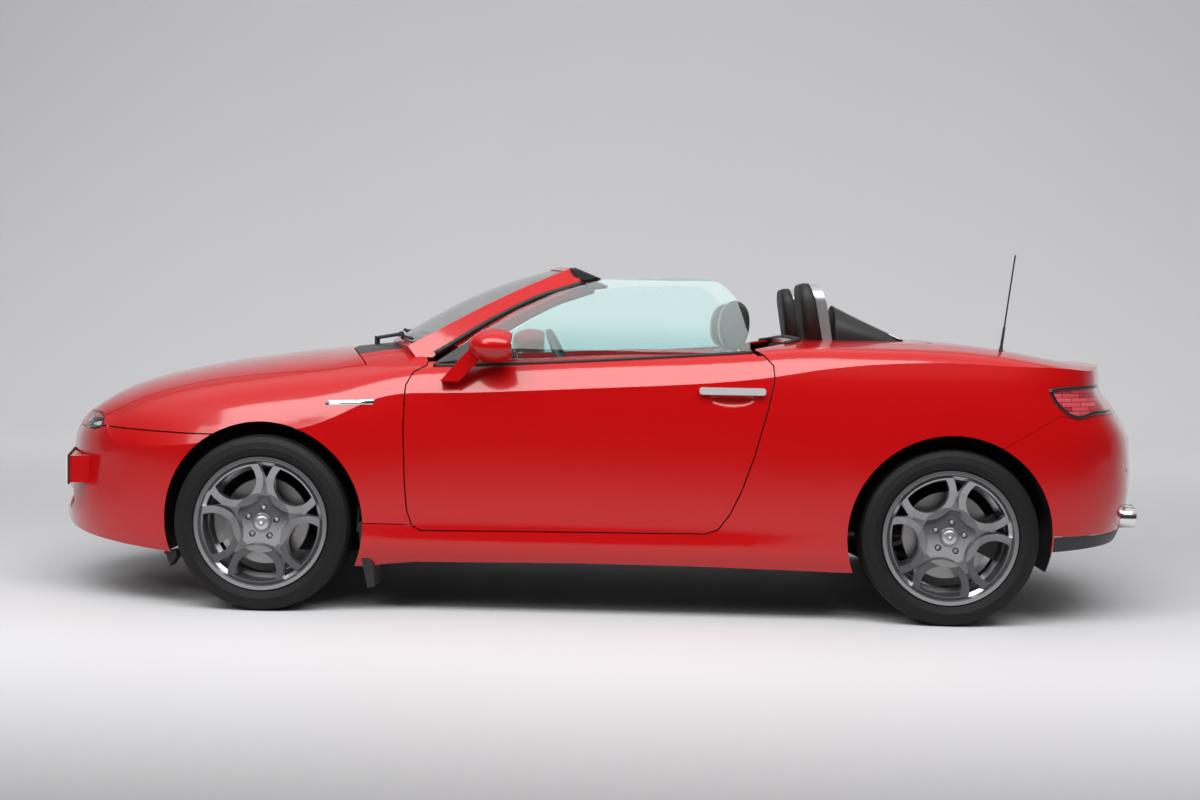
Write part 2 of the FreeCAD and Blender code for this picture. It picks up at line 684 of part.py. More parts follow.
lip = "Sizes.rim_width / 2"
rim = "Sizes.rim_radius"
bead = "Sizes.bead_radius"
barrel = "Sizes.window_edge + 0.5"
RIM_PROFILE = [
    (0, 50), ("Sizes.hub_radius", 50), (96, 42), (150, 48), ("Sizes.window_edge - 6", 62),
    (barrel, 50), (barrel, 22), (197, 8), (197, -34), (214, -58), (214, "-%s + 12" % lip), (bead, "-%s" % lip), (rim, "-%s" % lip),
    (rim, "-%s + 9" % lip), (bead, "-%s + 14" % lip), (222, -56), (205, -32), (205, 8),
    ("Sizes.window_edge + 8.5", 22), ("Sizes.window_edge + 8.5", 58), (bead, "%s - 14" % lip), (rim, "%s - 9" % lip), (rim, lip),
    ("%s - 14" % rim, lip), (226, "%s - 10" % lip), (212, "%s - 20" % lip), (150, 68), (100, 66),
    ("Sizes.hub_radius + 4", 72), (36, 76), (32, 84), (0, 84)]
DISH = [(0, 130), (0, 84), (60, 84), (110, 84), (170, 92), (233, lip), (233, 130)]

wheel = turned_body("wheel_master", [RIM_PROFILE])
rib = sketch_on(wheel, "loop_outline", "XY_Plane", [loop_outline("Sizes.loop_outer", "Sizes.window_edge + 6")])
rib.AttachmentOffset = Placement(Vector(0, 0, 56), Rotation())
loop = wheel.newObject("PartDesign::Pad", "loop_rib")
loop.Profile = rib
loop.Length = 50
around(wheel, loop, rib, "loop_ribs")
dish = sketch_on(wheel, "dish_outline", "XZ_Plane", [DISH])
face = wheel.newObject("PartDesign::Groove", "dished_face")
face.Profile = dish
face.ReferenceAxis = (dish, ["V_Axis"])
face.Angle = 360
pane = sketch_on(wheel, "window_outline", "XY_Plane", [loop_outline("Sizes.loop_inner", "Sizes.window_edge")])
pane.AttachmentOffset = Placement(Vector(0, 0, 20), Rotation())
window = wheel.newObject("PartDesign::Pocket", "loop_window")
window.Profile = pane
window.Length = 100
window.Reversed = True
around(wheel, window, pane, "loop_windows")
drilled(wheel, "bolt_recess", 12.5, "Sizes.bolt_circle / 2", 60, 36)
drilled(wheel, "bolt_hole", 7, "Sizes.bolt_circle / 2", 20, 36)
gap_reach = "sqrt(Sizes.window_edge ^ 2 - 576)"
gap_outline = [on_spoke("(Sizes.loop_centre - 20)", 0),
               on_spoke("(%s)" % gap_reach, -24) + ("Sizes.window_edge",),
               on_spoke("(%s)" % gap_reach, 24)]
slot = sketch_on(wheel, "gap_outline", "XY_Plane", [gap_outline])
slot.AttachmentOffset = Placement(Vector(0, 0, 20), Rotation())
rim_gap = wheel.newObject("PartDesign::Pocket", "rim_gap")
rim_gap.Profile = slot
rim_gap.Length = 100
rim_gap.Reversed = True
around(wheel, rim_gap, slot, "rim_gaps")
doc.recompute()

# Tyre, one closed ring seated on the rim
TYRE_PROFILE = [
    ("%s + 0.3" % bead, "-%s + 14.5" % lip), ("%s + 0.3" % rim, "-%s + 9.5" % lip),
    ("%s + 8" % rim, "-%s + 2" % lip), ("%s + 30" % rim, "-Sizes.tyre_width / 2"),
    ("Sizes.tyre_radius - 26", "-Sizes.tyre_width / 2 + 4"),
    ("Sizes.tyre_radius - 7", "-Sizes.tyre_width / 2 + 16"),
    ("Sizes.tyre_radius", "-Sizes.tyre_width / 2 + 34"),
    ("Sizes.tyre_radius", "Sizes.tyre_width / 2 - 34"),
    ("Sizes.tyre_radius - 7", "Sizes.tyre_width / 2 - 16"),
    ("Sizes.tyre_radius - 26", "Sizes.tyre_width / 2 - 4"),
    ("%s + 30" % rim, "Sizes.tyre_width / 2"), ("%s + 8" % rim, "%s - 2" % lip),
    ("%s + 0.3" % rim, "%s - 9.5" % lip), ("%s + 0.3" % bead, "%s - 14.5" % lip),
    ("%s + 10" % rim, "%s - 24" % lip), ("Sizes.tyre_radius - 16", "Sizes.tyre_width / 2 - 30"),
    ("Sizes.tyre_radius - 16", "-Sizes.tyre_width / 2 + 30"), ("%s + 10" % rim, "-%s + 24" % lip)]
tyre = turned_body("tyre_master", [TYRE_PROFILE])

# Brake disc with its hat, seated on the back of the wheel's hub
half_disc = "Sizes.disc_thick / 2"
DISC_PROFILE = [
    (32, 49.7), (64, 49.7), (78, 43), (78, half_disc), ("Sizes.disc_radius", half_disc),
    ("Sizes.disc_radius", "-" + half_disc), (86, "-" + half_disc), (70, 0), (70, 42), (32, 42)]
disc = turned_body("disc_master", [DISC_PROFILE])
doc.recompute()


def placed(name, master, x, y, z, rotation):
    """Copy of a master piece with its own placement."""
    item = doc.addObject("Part::Compound", name)
    item.Links = [master]
    return keep(name, place(item, x, y, z, rotation))


def spun(rotation, angle):
    return rotation.multiply(Rotation(Vector(0, 0, 1), angle))


CORNERS = [("front_left", "Sizes.front_axle", "-Sizes.front_track / 2", TO_LEFT, -23),
           ("front_right", "Sizes.front_axle", "Sizes.front_track / 2", TO_RIGHT, -23),
           ("rear_left", "Sizes.rear_axle", "-Sizes.rear_track / 2", TO_LEFT, -27),
           ("rear_right", "Sizes.rear_axle", "Sizes.rear_track / 2", TO_RIGHT, -27)]
for corner, x, y, facing, angle in CORNERS:
    placed("rim_" + corner, wheel, x, y, "Sizes.tyre_radius", spun(facing, angle))
    placed("tyre_" + corner, tyre, x, y, "Sizes.tyre_radius", facing)
    placed("brake_disc_" + corner, disc, x, y, "Sizes.tyre_radius", facing)
doc.recompute()



def part_ring(name, radius, low, high, start, sweep):
    """Slice of a round block about +Z, from one angle over a sweep."""
    item = doc.addObject("Part::Cylinder", name)
    item.Radius = radius
    item.Height = high - low
    item.Angle = sweep
    return place(item, 0, 0, low, Rotation(Vector(0, 0, 1), start))


def carrier(name, caliper_at):
    """Upright, hub and caliper about the wheel's own axle, with local +Y upwards."""
    hub = rod(name + "_hub", 31.7, 109.7, 0, 0, -60)
    flange = rod(name + "_flange", 58, 100, 0, 0, -62)
    upright = box(name + "_upright", 60, 254.7, 36, -30, -124.7, -98)
    outside = part_ring(name + "_caliper_outside", 188, -44, 36, caliper_at - 27, 54)
    inside = rod(name + "_caliper_inside", 112, 90, 0, 0, -46)
    slot = rod(name + "_slot", 166, 37, 0, 0, -18.5)
    bracket = part_ring(name + "_bracket", 150, -56, -40, caliper_at - 18, 36)
    arc = cut(name + "_caliper_arc", outside, inside)
    caliper = cut(name + "_caliper", arc, slot)
    return fuse(name + "_whole", [hub, flange, upright, bracket, caliper])


# Front carriers, which turn with the steering

front_carrier = carrier("front_carrier", 180)
knuckle_left = placed("knuckle_front_left", front_carrier, "Sizes.front_axle",
                      "-Sizes.front_track / 2", "Sizes.tyre_radius", TO_LEFT)
keep("knuckle_front_right", mirrored("knuckle_front_right", knuckle_left))

# Front suspension: cross member, wishbones, springs and drive shafts


def wishbone(name, x, low, high, root_spread):
    """Arm on the right-hand side, wide at its inner end and slim where the wheel turns."""
    outline = [("%s - %g" % (x, root_spread), 337), ("%s - 30" % x, 470), ("%s - 26" % x, 724),
               ("%s + 26" % x, 724), ("%s + 30" % x, 470), ("%s + %g" % (x, root_spread), 337)]
    return outline_body(name, "XY_Plane", outline, low, high)


def outline_body(name, role, points, low, high):
    """Block over an outline, between two heights along the plane's normal."""
    body = doc.addObject("PartDesign::Body", name)
    sketch = sketch_on(body, name + "_outline", role, [points])
    sketch.AttachmentOffset = Placement(Vector(0, 0, low), Rotation())
    pad = body.newObject("PartDesign::Pad", name + "_pad")
    pad.Profile = sketch
    pad.Length = high - low
    return body


BACK_X = Rotation(Vector(1, 0, 0), -90)
fx = "Sizes.front_axle"
rx = "Sizes.rear_axle"
lower_front = wishbone("lower_front_arm", fx, 182, 200, 150)
upper_front = wishbone("upper_front_arm", fx, 455.3, 473, 70)
tower = rod("front_spring_rod", 24, 330, fx, 520, 472)
spring = rod("front_spring", 47, 150, fx, 520, 620)
shaft = rod("front_shaft", 14, 330, fx, 330.3, "Sizes.tyre_radius", BACK_X)
boot = rod("front_boot", 34, 60, fx, 598, "Sizes.tyre_radius", BACK_X)
arms_right = fuse("front_arms_right", [lower_front, upper_front, tower, spring, shaft, boot])
arms_left = mirrored("front_arms_left", arms_right)
member = box("front_member", 330, 920, 60, "%s - 165" % fx, -460, 170)
upper_mount_right = box("upper_mount_right", 180, 125, 84, "%s - 90" % fx, 335, 416.3)
post_front = box("member_post_front", 50, 50, 130, "%s - 160" % fx, 405, 215.7)
post_back = box("member_post_back", 50, 50, 130, "%s + 110" % fx, 405, 215.7)
posts_right = fuse("member_posts_right", [post_front, post_back])
posts_left = mirrored("member_posts_left", posts_right)
upper_mount_left = mirrored("upper_mount_left", upper_mount_right)
front_suspension = fuse("front_suspension", [arms_right, arms_left, member, posts_right, posts_left,
                                             upper_mount_right, upper_mount_left])
keep("front_suspension", front_suspension)

# Rear suspension with its fixed carriers
rear_carrier = carrier("rear_carrier", 0)
rear_left = doc.addObject("Part::Compound", "rear_carrier_left")
rear_left.Links = [rear_carrier]
place(rear_left, rx, "-Sizes.rear_track / 2", "Sizes.tyre_radius", TO_LEFT)
rear_right = mirrored("rear_carrier_right", rear_left)
lower_rear = wishbone("lower_rear_arm", rx, 182, 201, 120)
upper_rear = outline_body("upper_rear_arm", "XY_Plane", [("%s - 60" % rx, 337), ("%s - 26" % rx, 690), ("%s + 26" % rx, 690), ("%s + 60" % rx, 337)], 290, 308)
damper = rod("rear_damper", 26, 460, rx, 560, 200)
rear_spring = rod("rear_spring", 30, 130, rx, 430, 189.7)
rear_arms_right = fuse("rear_arms_right", [lower_rear, upper_rear, damper, rear_spring])
rear_arms_left = mirrored("rear_arms_left", rear_arms_right)
rear_member = box("rear_member", 260, 740, 45, "%s - 130" % rx, -370, 268)
keep("rear_suspension", fuse("rear_suspension", [rear_left, rear_right, rear_arms_right,
                                                 rear_arms_left, rear_member]))

# Engine as one plain block
keep("engine_block", box("engine_block", 560, 660, 530, -1600, -330, 230.3))

# Floor, bulkheads, sills, boot tub and rails, cut back to lie just inside the skin
low_floor = size("floor_low")
sheet_thick = size("floor_thick")


tunnel = 80
split = 0.3
floor_top = low_floor + sheet_thick
FLOOR = [
    block(-900, 760, tunnel, 719.7, low_floor, floor_top),
    block(-888.7, 759.7, tunnel, 95, floor_top + split, 385.7),
    block(-888.7, 759.7, -95, 95, 386, 400),
    block(-780, 870, 720, 850, low_floor, 306)]
FRONT = [
    block(-905, -889, 0, 590, 592.3, 930),
    block(-905, -889, 590.3, 860, 592.3, 860),
    block(-905, -889, 0, 479, 386.3, 592),
    block(-905, -889, tunnel, 479, floor_top + split, 386),
    block(-888.7, -690, 780, 830, 306.3, 860),
    block(-2009.7, -905.3, 400, 462, 346, 416),
    block(-1500, -905.3, 462.3, 472, 346, 802),
    block(-1900, -1500.3, 462.3, 472, 346, 660),
    block(-1290, -1120, 455, 600, 802.3, 826),
    block(-1960, -1900, 472.3, 640, 600, 642.5),
    block(-2040, -2010, -560, 560, 290, 560)]
under_lid = body_half(size("lid_thick") + 0.3)
REAR = [
    block(760, 776, 0, 699.7, 386.3, 1060).common(under_lid),
    block(760, 776, tunnel, 719.7, low_floor, 386),
    block(690, 900, 700, 860, 306.3, 930),
    block(776.3, 1984.7, 0, 490, 400, 412),
    block(776.3, 1984.7, 478, 490, 412.3, 755),
    block(1985, 2000, 0, 690, 400, 740),
    block(776.3, 1700, 400, 460, 320, 399.7),
    block(2000.3, 2034.7, 380, 440, 450, 530),
    block(2035, 2062, -500, 500, 440, 540)]
tunnel_room = block(-920, 840, -10, tunnel, 100, 385.7)
arm_room = block(-1330, -1080, 400, 500, 440, 500)
flap_room = block(-831, -817, 689, 900, 100, 263)
door_clear = prism(grown(DOOR, gap + 3), "Y", size("door_inner") - 6, 1100)
liner_room = Part.makeCylinder(size("liner_radius") + 4.3, 420, Vector(front_axle, 480, axle_height),
                               Vector(0, 1, 0))
rear_liner = size("arch_radius") + 3
rear_room = Part.makeCylinder(rear_liner + 4.3, 420, Vector(rear_axle, 491, axle_height),
                              Vector(0, 1, 0))
floor_cutters = [tunnel_room, arm_room, flap_room, door_clear, liner_room, rear_room]


def structure(blocks, extra=()):
    """Plates of the body shell, each its own solid, cut back to lie inside the skin."""
    solids = list(extra)
    for item in blocks:
        half = item
        if not all(clear_inner.isInside(v.Point, 0.01, True) for v in item.Vertexes):
            half = item.common(clear_inner)
        for cutter in floor_cutters:
            if cutter.BoundBox.intersect(half.BoundBox):
                half = half.cut(cutter)
        if item.BoundBox.YMin < 1:
            solids += both_sides(half).removeSplitter().Solids
        else:
            solids += half.Solids + to_left(half).Solids
    return Part.makeCompound([solid for solid in solids if solid.Volume > 4000])


post = block(-650, -560, 700, 733, 306.3, 850).common(clear_inner)
for height in HINGE_HEIGHTS:
    post = post.fuse(block(HINGE_X - 11, HINGE_X + 11, 725, HINGE_Y, height - 8, height + 8))
    post = post.fuse(Part.makeCylinder(11, 16, Vector(HINGE_X, HINGE_Y, height - 8)))
    post = post.fuse(Part.makeCylinder(8, 44, Vector(HINGE_X, HINGE_Y, height - 22)))
keep("floor_pan", panel("floor_pan", structure(FLOOR)))
tow_boss = Part.makeCylinder(19, 50, Vector(-2090.3, 400, 325), Vector(1, 0, 0))
tow_boss = tow_boss.cut(Part.makeCylinder(9, 50, Vector(-2090.3, 400, 325), Vector(1, 0, 0)))
keep("front_structure", panel("front_structure", structure(FRONT, [post, to_left(post), tow_boss])))
keep("rear_structure", panel("rear_structure", structure(REAR)))

# Wheel arch liners, each an arch of sheet just inside the wing


def liner(x, radius, low_y):
    ring = Part.makeCylinder(radius + 4, 900 - low_y, Vector(x, low_y, axle_height), Vector(0, 1, 0))
    ring = ring.cut(Part.makeCylinder(radius, 900, Vector(x, low_y - 1, axle_height),
                                      Vector(0, 1, 0)))
    return ring.cut(block(x - 600, x + 600, 400, 1000, 0, 200)).common(clear_inner)


spring_room = Part.makeCylinder(62, 400, Vector(front_axle, 520, 500))
flap = block(-828, -820, 690, 890, 105, 260).cut(block(-900, -700, 866, 900, 0, 168))
flap = flap.common(body_half(thick + 0.3))
front_liner = liner(front_axle, size("liner_radius"), 481).cut(spring_room)
liners = [front_liner.fuse(flap), liner(rear_axle, rear_liner, 491.3)]
keep("wheel_arch_liners", panel("wheel_arch_liners", Part.makeCompound(
    liners + [to_left(piece) for piece in liners])))

# Windscreen: one curved face for the glass and a frame round it
GLASS_MIDDLE = [(0, -850, 1004), (.25, -700, 1098), (.5, -540, 1184), (.75, -365, 1256),
                (1, -175, 1310)]
GLASS_EDGE = [(0, -700, 985, 692), (.25, -560, 1060, 678), (.5, -410, 1143, 658),
              (.75, -255, 1220, 636), (1, -90, 1292, 606)]
PILLAR_FOOT = [(0, -640, 912, 738), (.25, -520, 1008, 722), (.5, -375, 1098, 703),
               (.75, -225, 1176, 682), (1, -50, 1236, 655)]


def on_line(line, rise):
    """Point at a rise on a side line given as (rise, x, z, y)."""
    return Vector(smooth([(p[0], p[1]) for p in line], rise),
                  smooth([(p[0], p[3]) for p in line], rise),
                  smooth([(p[0], p[2]) for p in line], rise))


def glass_point(rise, across):
    middle_x = smooth([(p[0], p[1]) for p in GLASS_MIDDLE], rise)
    middle_z = smooth([(p[0], p[2]) for p in GLASS_MIDDLE], rise)
    edge = on_line(GLASS_EDGE, rise)
    bend = across ** 2
    return Vector(middle_x + (edge.x - middle_x) * bend, edge.y * across,
                  middle_z + (edge.z - middle_z) * bend)


def screen_face(low, high, side):
    """Part of the windscreen face between two rises and out to a share of the width."""
    rows = [[glass_point(low + (high - low) * i / 8, side * (j - 5) / 5) for j in range(11)]
            for i in range(9)]
    return net_face(rows)


THROUGH = Vector(0.5, 0, -0.866)
screen_glass = screen_face(0.035, 0.955, 0.975)
frame_block = screen_face(0, 1, 1).extrude(THROUGH * 34)
frame_hole = screen_glass.translated(THROUGH * -20).extrude(THROUGH * 90)
body_swell = both_sides(body_half(-0.3))
frame = outward_solid(frame_block).cut(outward_solid(frame_hole))
pillar_rows = []
for i in range(9):
    high, low = on_line(GLASS_EDGE, i / 8), on_line(PILLAR_FOOT, i / 8)
    pillar_rows.append([high + (low - high) * (j / 3) for j in range(4)])
pillar = outward_solid(net_face(pillar_rows).extrude(Vector(9, -26, -5)))
frame = frame.fuse(pillar).fuse(to_left(pillar)).cut(body_swell)
frame = max(frame.Solids, key=lambda solid: solid.Volume)
keep("windscreen_frame", panel("windscreen_frame", frame))
glass = outward_solid(screen_face(0.0365, 0.952, 0.9725).translated(THROUGH * 4).extrude(THROUGH * 5))
glass = glass.cut(body_swell)
keep("windscreen_glass", panel("windscreen_glass", glass))

# Door panes: an outline cut from a gently curved and leaning sheet
PANE = [(-585, 900), (-585, 925), (-420, 1045), (-276, 1133), (-128, 1203), (29, 1247),
        (171, 1257), (356, 1264), (440, 1258), (500, 1226), (535, 1180), (575, 1060), (586, 985),
        (586, 900)]
door_pane = pane_sheet(0, 0).common(prism(PANE, "Y", 500, 900))
keep("door_glass_right", panel("door_glass_right", door_pane))
keep("door_glass_left", panel("door_glass_left", to_left(door_pane)))

# Door mirrors on short stalks
mirror_shell = doc.addObject("Part::Ellipsoid", "mirror_shell")
mirror_shell.Radius1 = 62
mirror_shell.Radius2 = 95
mirror_shell.Radius3 = 92
mirror_shell.Angle1 = -90
place(mirror_shell, -350, 908, 994)
mirror_back = box("mirror_back", 100, 240, 160, -288, 790, 914)
mirror_cup = cut("mirror_cup", mirror_shell, mirror_back)
stalk_shape = prism([(-548, 862), (-478, 862), (-400, 950), (-400, 985), (-440, 985)], "Y", 872, 915)
mirror_stalk = panel("mirror_stalk", stalk_shape.cut(body_swell))
mirror_right = fuse("mirror_right", [mirror_cup, mirror_stalk])
keep("mirror_right", mirror_right)
keep("mirror_left", mirrored("mirror_left", mirror_right))

# Grille: slats and rim in the opening of the bumper
grille_zone = prism(grown(GRILLE, -0.3), "X", -2400, -1900)
grille_zone_half = block(-2400, -1900, -10, 200, 250, 700)
grille_core_half = body_half(20)
grille_band = both_sides(body_half(14).common(grille_zone_half)).cut(both_sides(grille_core_half))
grille_core = prism(grown(GRILLE, -14), "X", -2400, -1900)
slats = [block(-2300, -1950, -180, 180, z, z + 9) for z in range(350, 640, 42)]
grille_rim = grille_band.common(grille_zone).cut(grille_core)
grille_slats = Part.makeCompound(slats).common(prism(grown(GRILLE, -1), "X", -2400, -1900))
grille_slats = grille_slats.common(both_sides(body_half(6).common(grille_zone_half)))
grille_slats = grille_slats.cut(both_sides(grille_core_half))
keep("grille", panel("grille", grille_rim.fuse(grille_slats)))

# Headlamps: a dark tub behind each lens with three round lamps
lamp_room = region(LAMP_FRONT, 1.8).cut(bonnet_hole)
behind_lens = body_half(3.3)
tub_core = body_half(54)
case_front = body_half(16)
tub_back = lamp_room.common(body_half(48)).cut(tub_core)
tub_edge = lamp_room.cut(region(LAMP_FRONT, 7)).common(behind_lens).cut(tub_core)
lamp_bowl = body_half(34)
LAMPS = [((-1925, 648, 697), 38), ((-1985, 560, 682), 30), ((-2030, 480, 672), 25)]
lamp_shape = tub_back.fuse(tub_edge)
for at, radius in LAMPS:
    case = Part.makeCylinder(radius, 150, Vector(*at) + Vector(60, 0, 0), Vector(-1, 0.25, 0))
    hollow = Part.makeCylinder(radius - 5, 150, Vector(*at) + Vector(60, 0, 0), Vector(-1, 0.25, 0))
    case = case.common(case_front).common(lamp_room).cut(tub_core)
    lamp_shape = lamp_shape.fuse(case).cut(hollow.cut(lamp_bowl))
lamp_shape = max(lamp_shape.Solids, key=lambda solid: solid.Volume)
keep("headlamps", panel("headlamps", Part.makeCompound([lamp_shape, to_left(lamp_shape)])))

# Dashboard with the steering column
DASH = [(-760, 640), (-760, 880), (-640, 900), (-520, 935), (-450, 930), (-425, 900),
        (-440, 800), (-520, 690), (-600, 640)]
dash = outline_body("dash_body", "XZ_Plane", DASH, -700, 700)
binnacle = outline_body("binnacle", "XZ_Plane", [(-560, 900), (-520, 965), (-470, 985), (-390, 970),
                                                 (-400, 900)], -530, -230)
console = box("console", 539.7, 170, 160, -479.7, -85, 400.3)
console_front = box("console_front", 160, 200, 330, -640, -100, 400.3)
COLUMN_TURN = Rotation(Vector(0, 1, 0), 65)
wheel_x, wheel_y, wheel_z = -161, 380, 888
column = rod("column", 26, 330, wheel_x - 390 * math.cos(math.radians(25)), wheel_y,
             wheel_z - 390 * math.sin(math.radians(25)), COLUMN_TURN)
dash_whole = fuse("dash_whole", [dash, binnacle, console_front, column])
dashboard = doc.addObject("Part::Compound", "dashboard")
dashboard.Links = [dash_whole, console]
keep("dashboard", dashboard)

# Steering wheel: rim, hub and three spokes, turned to face the driver
ring = doc.addObject("Part::Torus", "steering_ring")
bind(ring, "Radius1", "Sizes.steering_radius - 16")
ring.Radius2 = 16
boss = rod("steering_boss", 62, 58, 0, 0, -45)
neck = rod("steering_neck", 26, 40, 0, 0, -59.7)
spoke_down = box("spoke_down", 130, 34, 16, 40, -17, -24)
spoke_cross = box("spoke_cross", 40, 320, 16, -14, -160, -24)
steering_whole = fuse("steering_whole", [ring, boss, neck, spoke_down, spoke_cross])
placed("steering_wheel", steering_whole, wheel_x, wheel_y, wheel_z, COLUMN_TURN)

# Seats, each a cushion, a leaning back and a headrest on rails
seat_y = "Sizes.seat_centre"
CUSHION = [(-150, 260), (-165, 400), (-120, 440), (60, 425), (330, 385), (400, 385), (410, 260)]
BACK = [(330, 388), (405, 700), (470, 930), (510, 1000), (585, 990), (600, 900), (520, 600),
        (440, 300), (380, 300)]
HEADREST = [(478, 1015), (490, 1150), (520, 1188), (570, 1190), (612, 1150), (600, 1015)]


def seat_part(name, points, half):
    body = outline_body(name, "XZ_Plane", points, -half, half)
    body.setExpression("Placement.Base.y", seat_y)
    return body


cushion = seat_part("seat_cushion", CUSHION, 250)
back = seat_part("seat_back", BACK, 250)
headrest = seat_part("seat_headrest", HEADREST, 130)
neck_post = seat_part("seat_post", [(530, 980), (530, 1030), (560, 1030), (560, 980)], 60)
rails = seat_part("seat_rails", [(-100, 216.3), (-100, 262), (380, 262), (380, 216.3)], 200)
seat_right = fuse("seat_right", [cushion, back, headrest, neck_post, rails])
seat_left = mirrored("seat_left", seat_right)
seats = doc.addObject("Part::Compound", "seats")
seats.Links = [seat_left, seat_right]
keep("seats", seats)

# Roll hoops and their fairings behind the seats
HOOP_SIDE = [(812, 1238), (838, 1249), (862, 1236), (884, 1170), (908, 1027), (915, 950), (868, 950),
             (850, 1090)]
HOOP_OUT = [(262, 900), (262, 1250), (578, 1250), (578, 900)]
HOOP_IN = [(312, 860), (312, 1200), (528, 1200), (528, 860)]
hoop = rounded_prism(HOOP_OUT, 70, "X", 600, 1000)
hoop = hoop.cut(rounded_prism(HOOP_IN, 40, "X", 590, 1010))
hoop = hoop.common(prism(HOOP_SIDE, "Y", 0, 700)).cut(body_swell.common(block(700, 1000, 0, 700, 900, 1200)))
keep("roll_hoops", panel("roll_hoops", Part.makeCompound([hoop, to_left(hoop)])))


def fairing_section(x, half, height):
    low = Vector(x, size("hoop_centre") - half, 990)
    high = Vector(x, size("hoop_centre") + half, 990)
    shoulder = 0.8 * (height - 990) + 990
    points = [low, Vector(x, low.y + 0.08 * half, shoulder), Vector(x, low.y + half, height),
              Vector(x, high.y - 0.08 * half, shoulder), high]
    curve = Part.BSplineCurve()
    curve.interpolate(points)
    return Part.Wire([curve.toShape(), Part.makeLine(high, low)])


fairing = Part.makeLoft([fairing_section(918, 150, 1168), fairing_section(1040, 130, 1108),
                         fairing_section(1190, 90, 1042)], True)
fairing = outward_solid(fairing).cut(body_swell.common(block(800, 1300, 0, 700, 900, 1200)))
keep("hoop_fairings", panel("hoop_fairings", Part.makeCompound([fairing, to_left(fairing)])))

# Wind deflector, a clear pane between the hoops
deflector = rounded_prism([(-261.7, 1075), (-261.7, 1222), (261.7, 1222), (261.7, 1075)], 40,
                          "X", 858, 863)
keep("wind_deflector", panel("wind_deflector", deflector))

# Exhaust: long pipe, silencer and four tips
pipe = rod("exhaust_pipe", "Sizes.pipe_radius", 2580, -1000, 0, 225, ALONG_X)
silencer = rod("silencer", 58, 1180, 1850, -590, 341.7, BACK_X)
riser = rod("exhaust_riser", "Sizes.pipe_radius", 340, 1560, 0, 225, Rotation(Vector(0, 1, 0), 68))
tips = [rod("tip_%d" % index, 38, length, 2006, y, 380, ALONG_X)
        for index, (y, length) in enumerate(((-568, 62), (-470, 84), (470, 84), (568, 62)))]
links = [rod("tip_pipe_%d" % index, 18, 180, 1850, y, 372, ALONG_X)
         for index, y in enumerate((-568, -470, 470, 568))]
keep("exhaust", fuse("exhaust", [pipe, riser, silencer] + tips + links))

# Wipers on the scuttle, below the glass
def wiper(across_pivot, across_tip, name):
    pivot = glass_point(0, across_pivot) + Vector(-70, 0, 0)
    tip = glass_point(0.06, across_tip) + Vector(-16, 0, 16)
    start = Vector(pivot.x, pivot.y, 1008)
    arm = Part.makeCylinder(7, (tip - start).Length, start, tip - start)
    post = Part.makeCylinder(11, 130, Vector(pivot.x, pivot.y, 885), Vector(0, 0, 1))
    return arm.fuse(post).cut(body_swell.common(block(-1000, -700, -760, 760, 800, 1100)))


keep("wipers", panel("wipers", Part.makeCompound([wiper(-0.15, -0.75, "a"), wiper(0.75, 0.1, "b")])))

# Radio aerial on the left rear wing
aerial_foot = rod("aerial_foot", 14, 110, 1528, -600, 900, Rotation(Vector(0, 1, 0), 7))
aerial_rod = rod("aerial_rod", 3, 472, 1528, -600, 900, Rotation(Vector(0, 1, 0), 7))
aerial = fuse("aerial_whole", [aerial_foot, aerial_rod])
doc.recompute()
aerial_shape = aerial.Shape.cut(body_swell.common(block(1400, 1700, -760, -400, 700, 1200)))
keep("aerial", panel("aerial", aerial_shape))

# Number plates, left blank
front_plate = box("front_plate", 6, 520, 111, -2020, -640, 430, plate_turn)
rear_plate = box("rear_plate", 6, 520, 111, 2130, -260, 560)
keep("number_plates", fuse("number_plates", [front_plate, rear_plate]))

doc.recompute()


def check_document():
    for item in doc.Objects:
        if "Invalid" in item.State or "Error" in item.State:
            raise RuntimeError("%s is not up to date: %s" % (item.Name, item.getStatusString()))
    for name, item in NODES.items():
        if item.Shape.isNull() or not item.Shape.isValid():
            raise RuntimeError("%s has no sound shape" % name)


check_document()
os.makedirs("parts", exist_ok=True)
for name, item in NODES.items():
    item.Shape.exportStep("parts/%s.step" % name)
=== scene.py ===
import json
import math

import bmesh
import bpy
from mathutils import Matrix, Vector
from mathutils.bvhtree import BVHTree


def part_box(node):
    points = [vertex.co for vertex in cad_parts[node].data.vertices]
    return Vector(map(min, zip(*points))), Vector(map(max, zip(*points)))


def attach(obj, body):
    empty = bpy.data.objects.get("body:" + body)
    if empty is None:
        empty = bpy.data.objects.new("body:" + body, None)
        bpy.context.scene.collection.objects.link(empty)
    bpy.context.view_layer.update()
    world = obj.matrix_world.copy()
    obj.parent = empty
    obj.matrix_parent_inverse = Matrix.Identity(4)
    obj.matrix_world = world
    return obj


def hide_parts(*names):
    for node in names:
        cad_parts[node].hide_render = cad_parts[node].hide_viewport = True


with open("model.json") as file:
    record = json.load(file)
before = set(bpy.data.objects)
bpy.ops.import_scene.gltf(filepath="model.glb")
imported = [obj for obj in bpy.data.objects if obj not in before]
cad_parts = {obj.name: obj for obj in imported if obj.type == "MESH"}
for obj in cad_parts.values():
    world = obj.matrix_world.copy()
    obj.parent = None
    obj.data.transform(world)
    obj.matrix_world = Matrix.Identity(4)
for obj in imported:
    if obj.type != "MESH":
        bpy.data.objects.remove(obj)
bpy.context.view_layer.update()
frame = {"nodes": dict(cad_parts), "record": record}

# Two-seat convertible car, nose towards -X, car's right towards +Y, ground at z 0, metres.

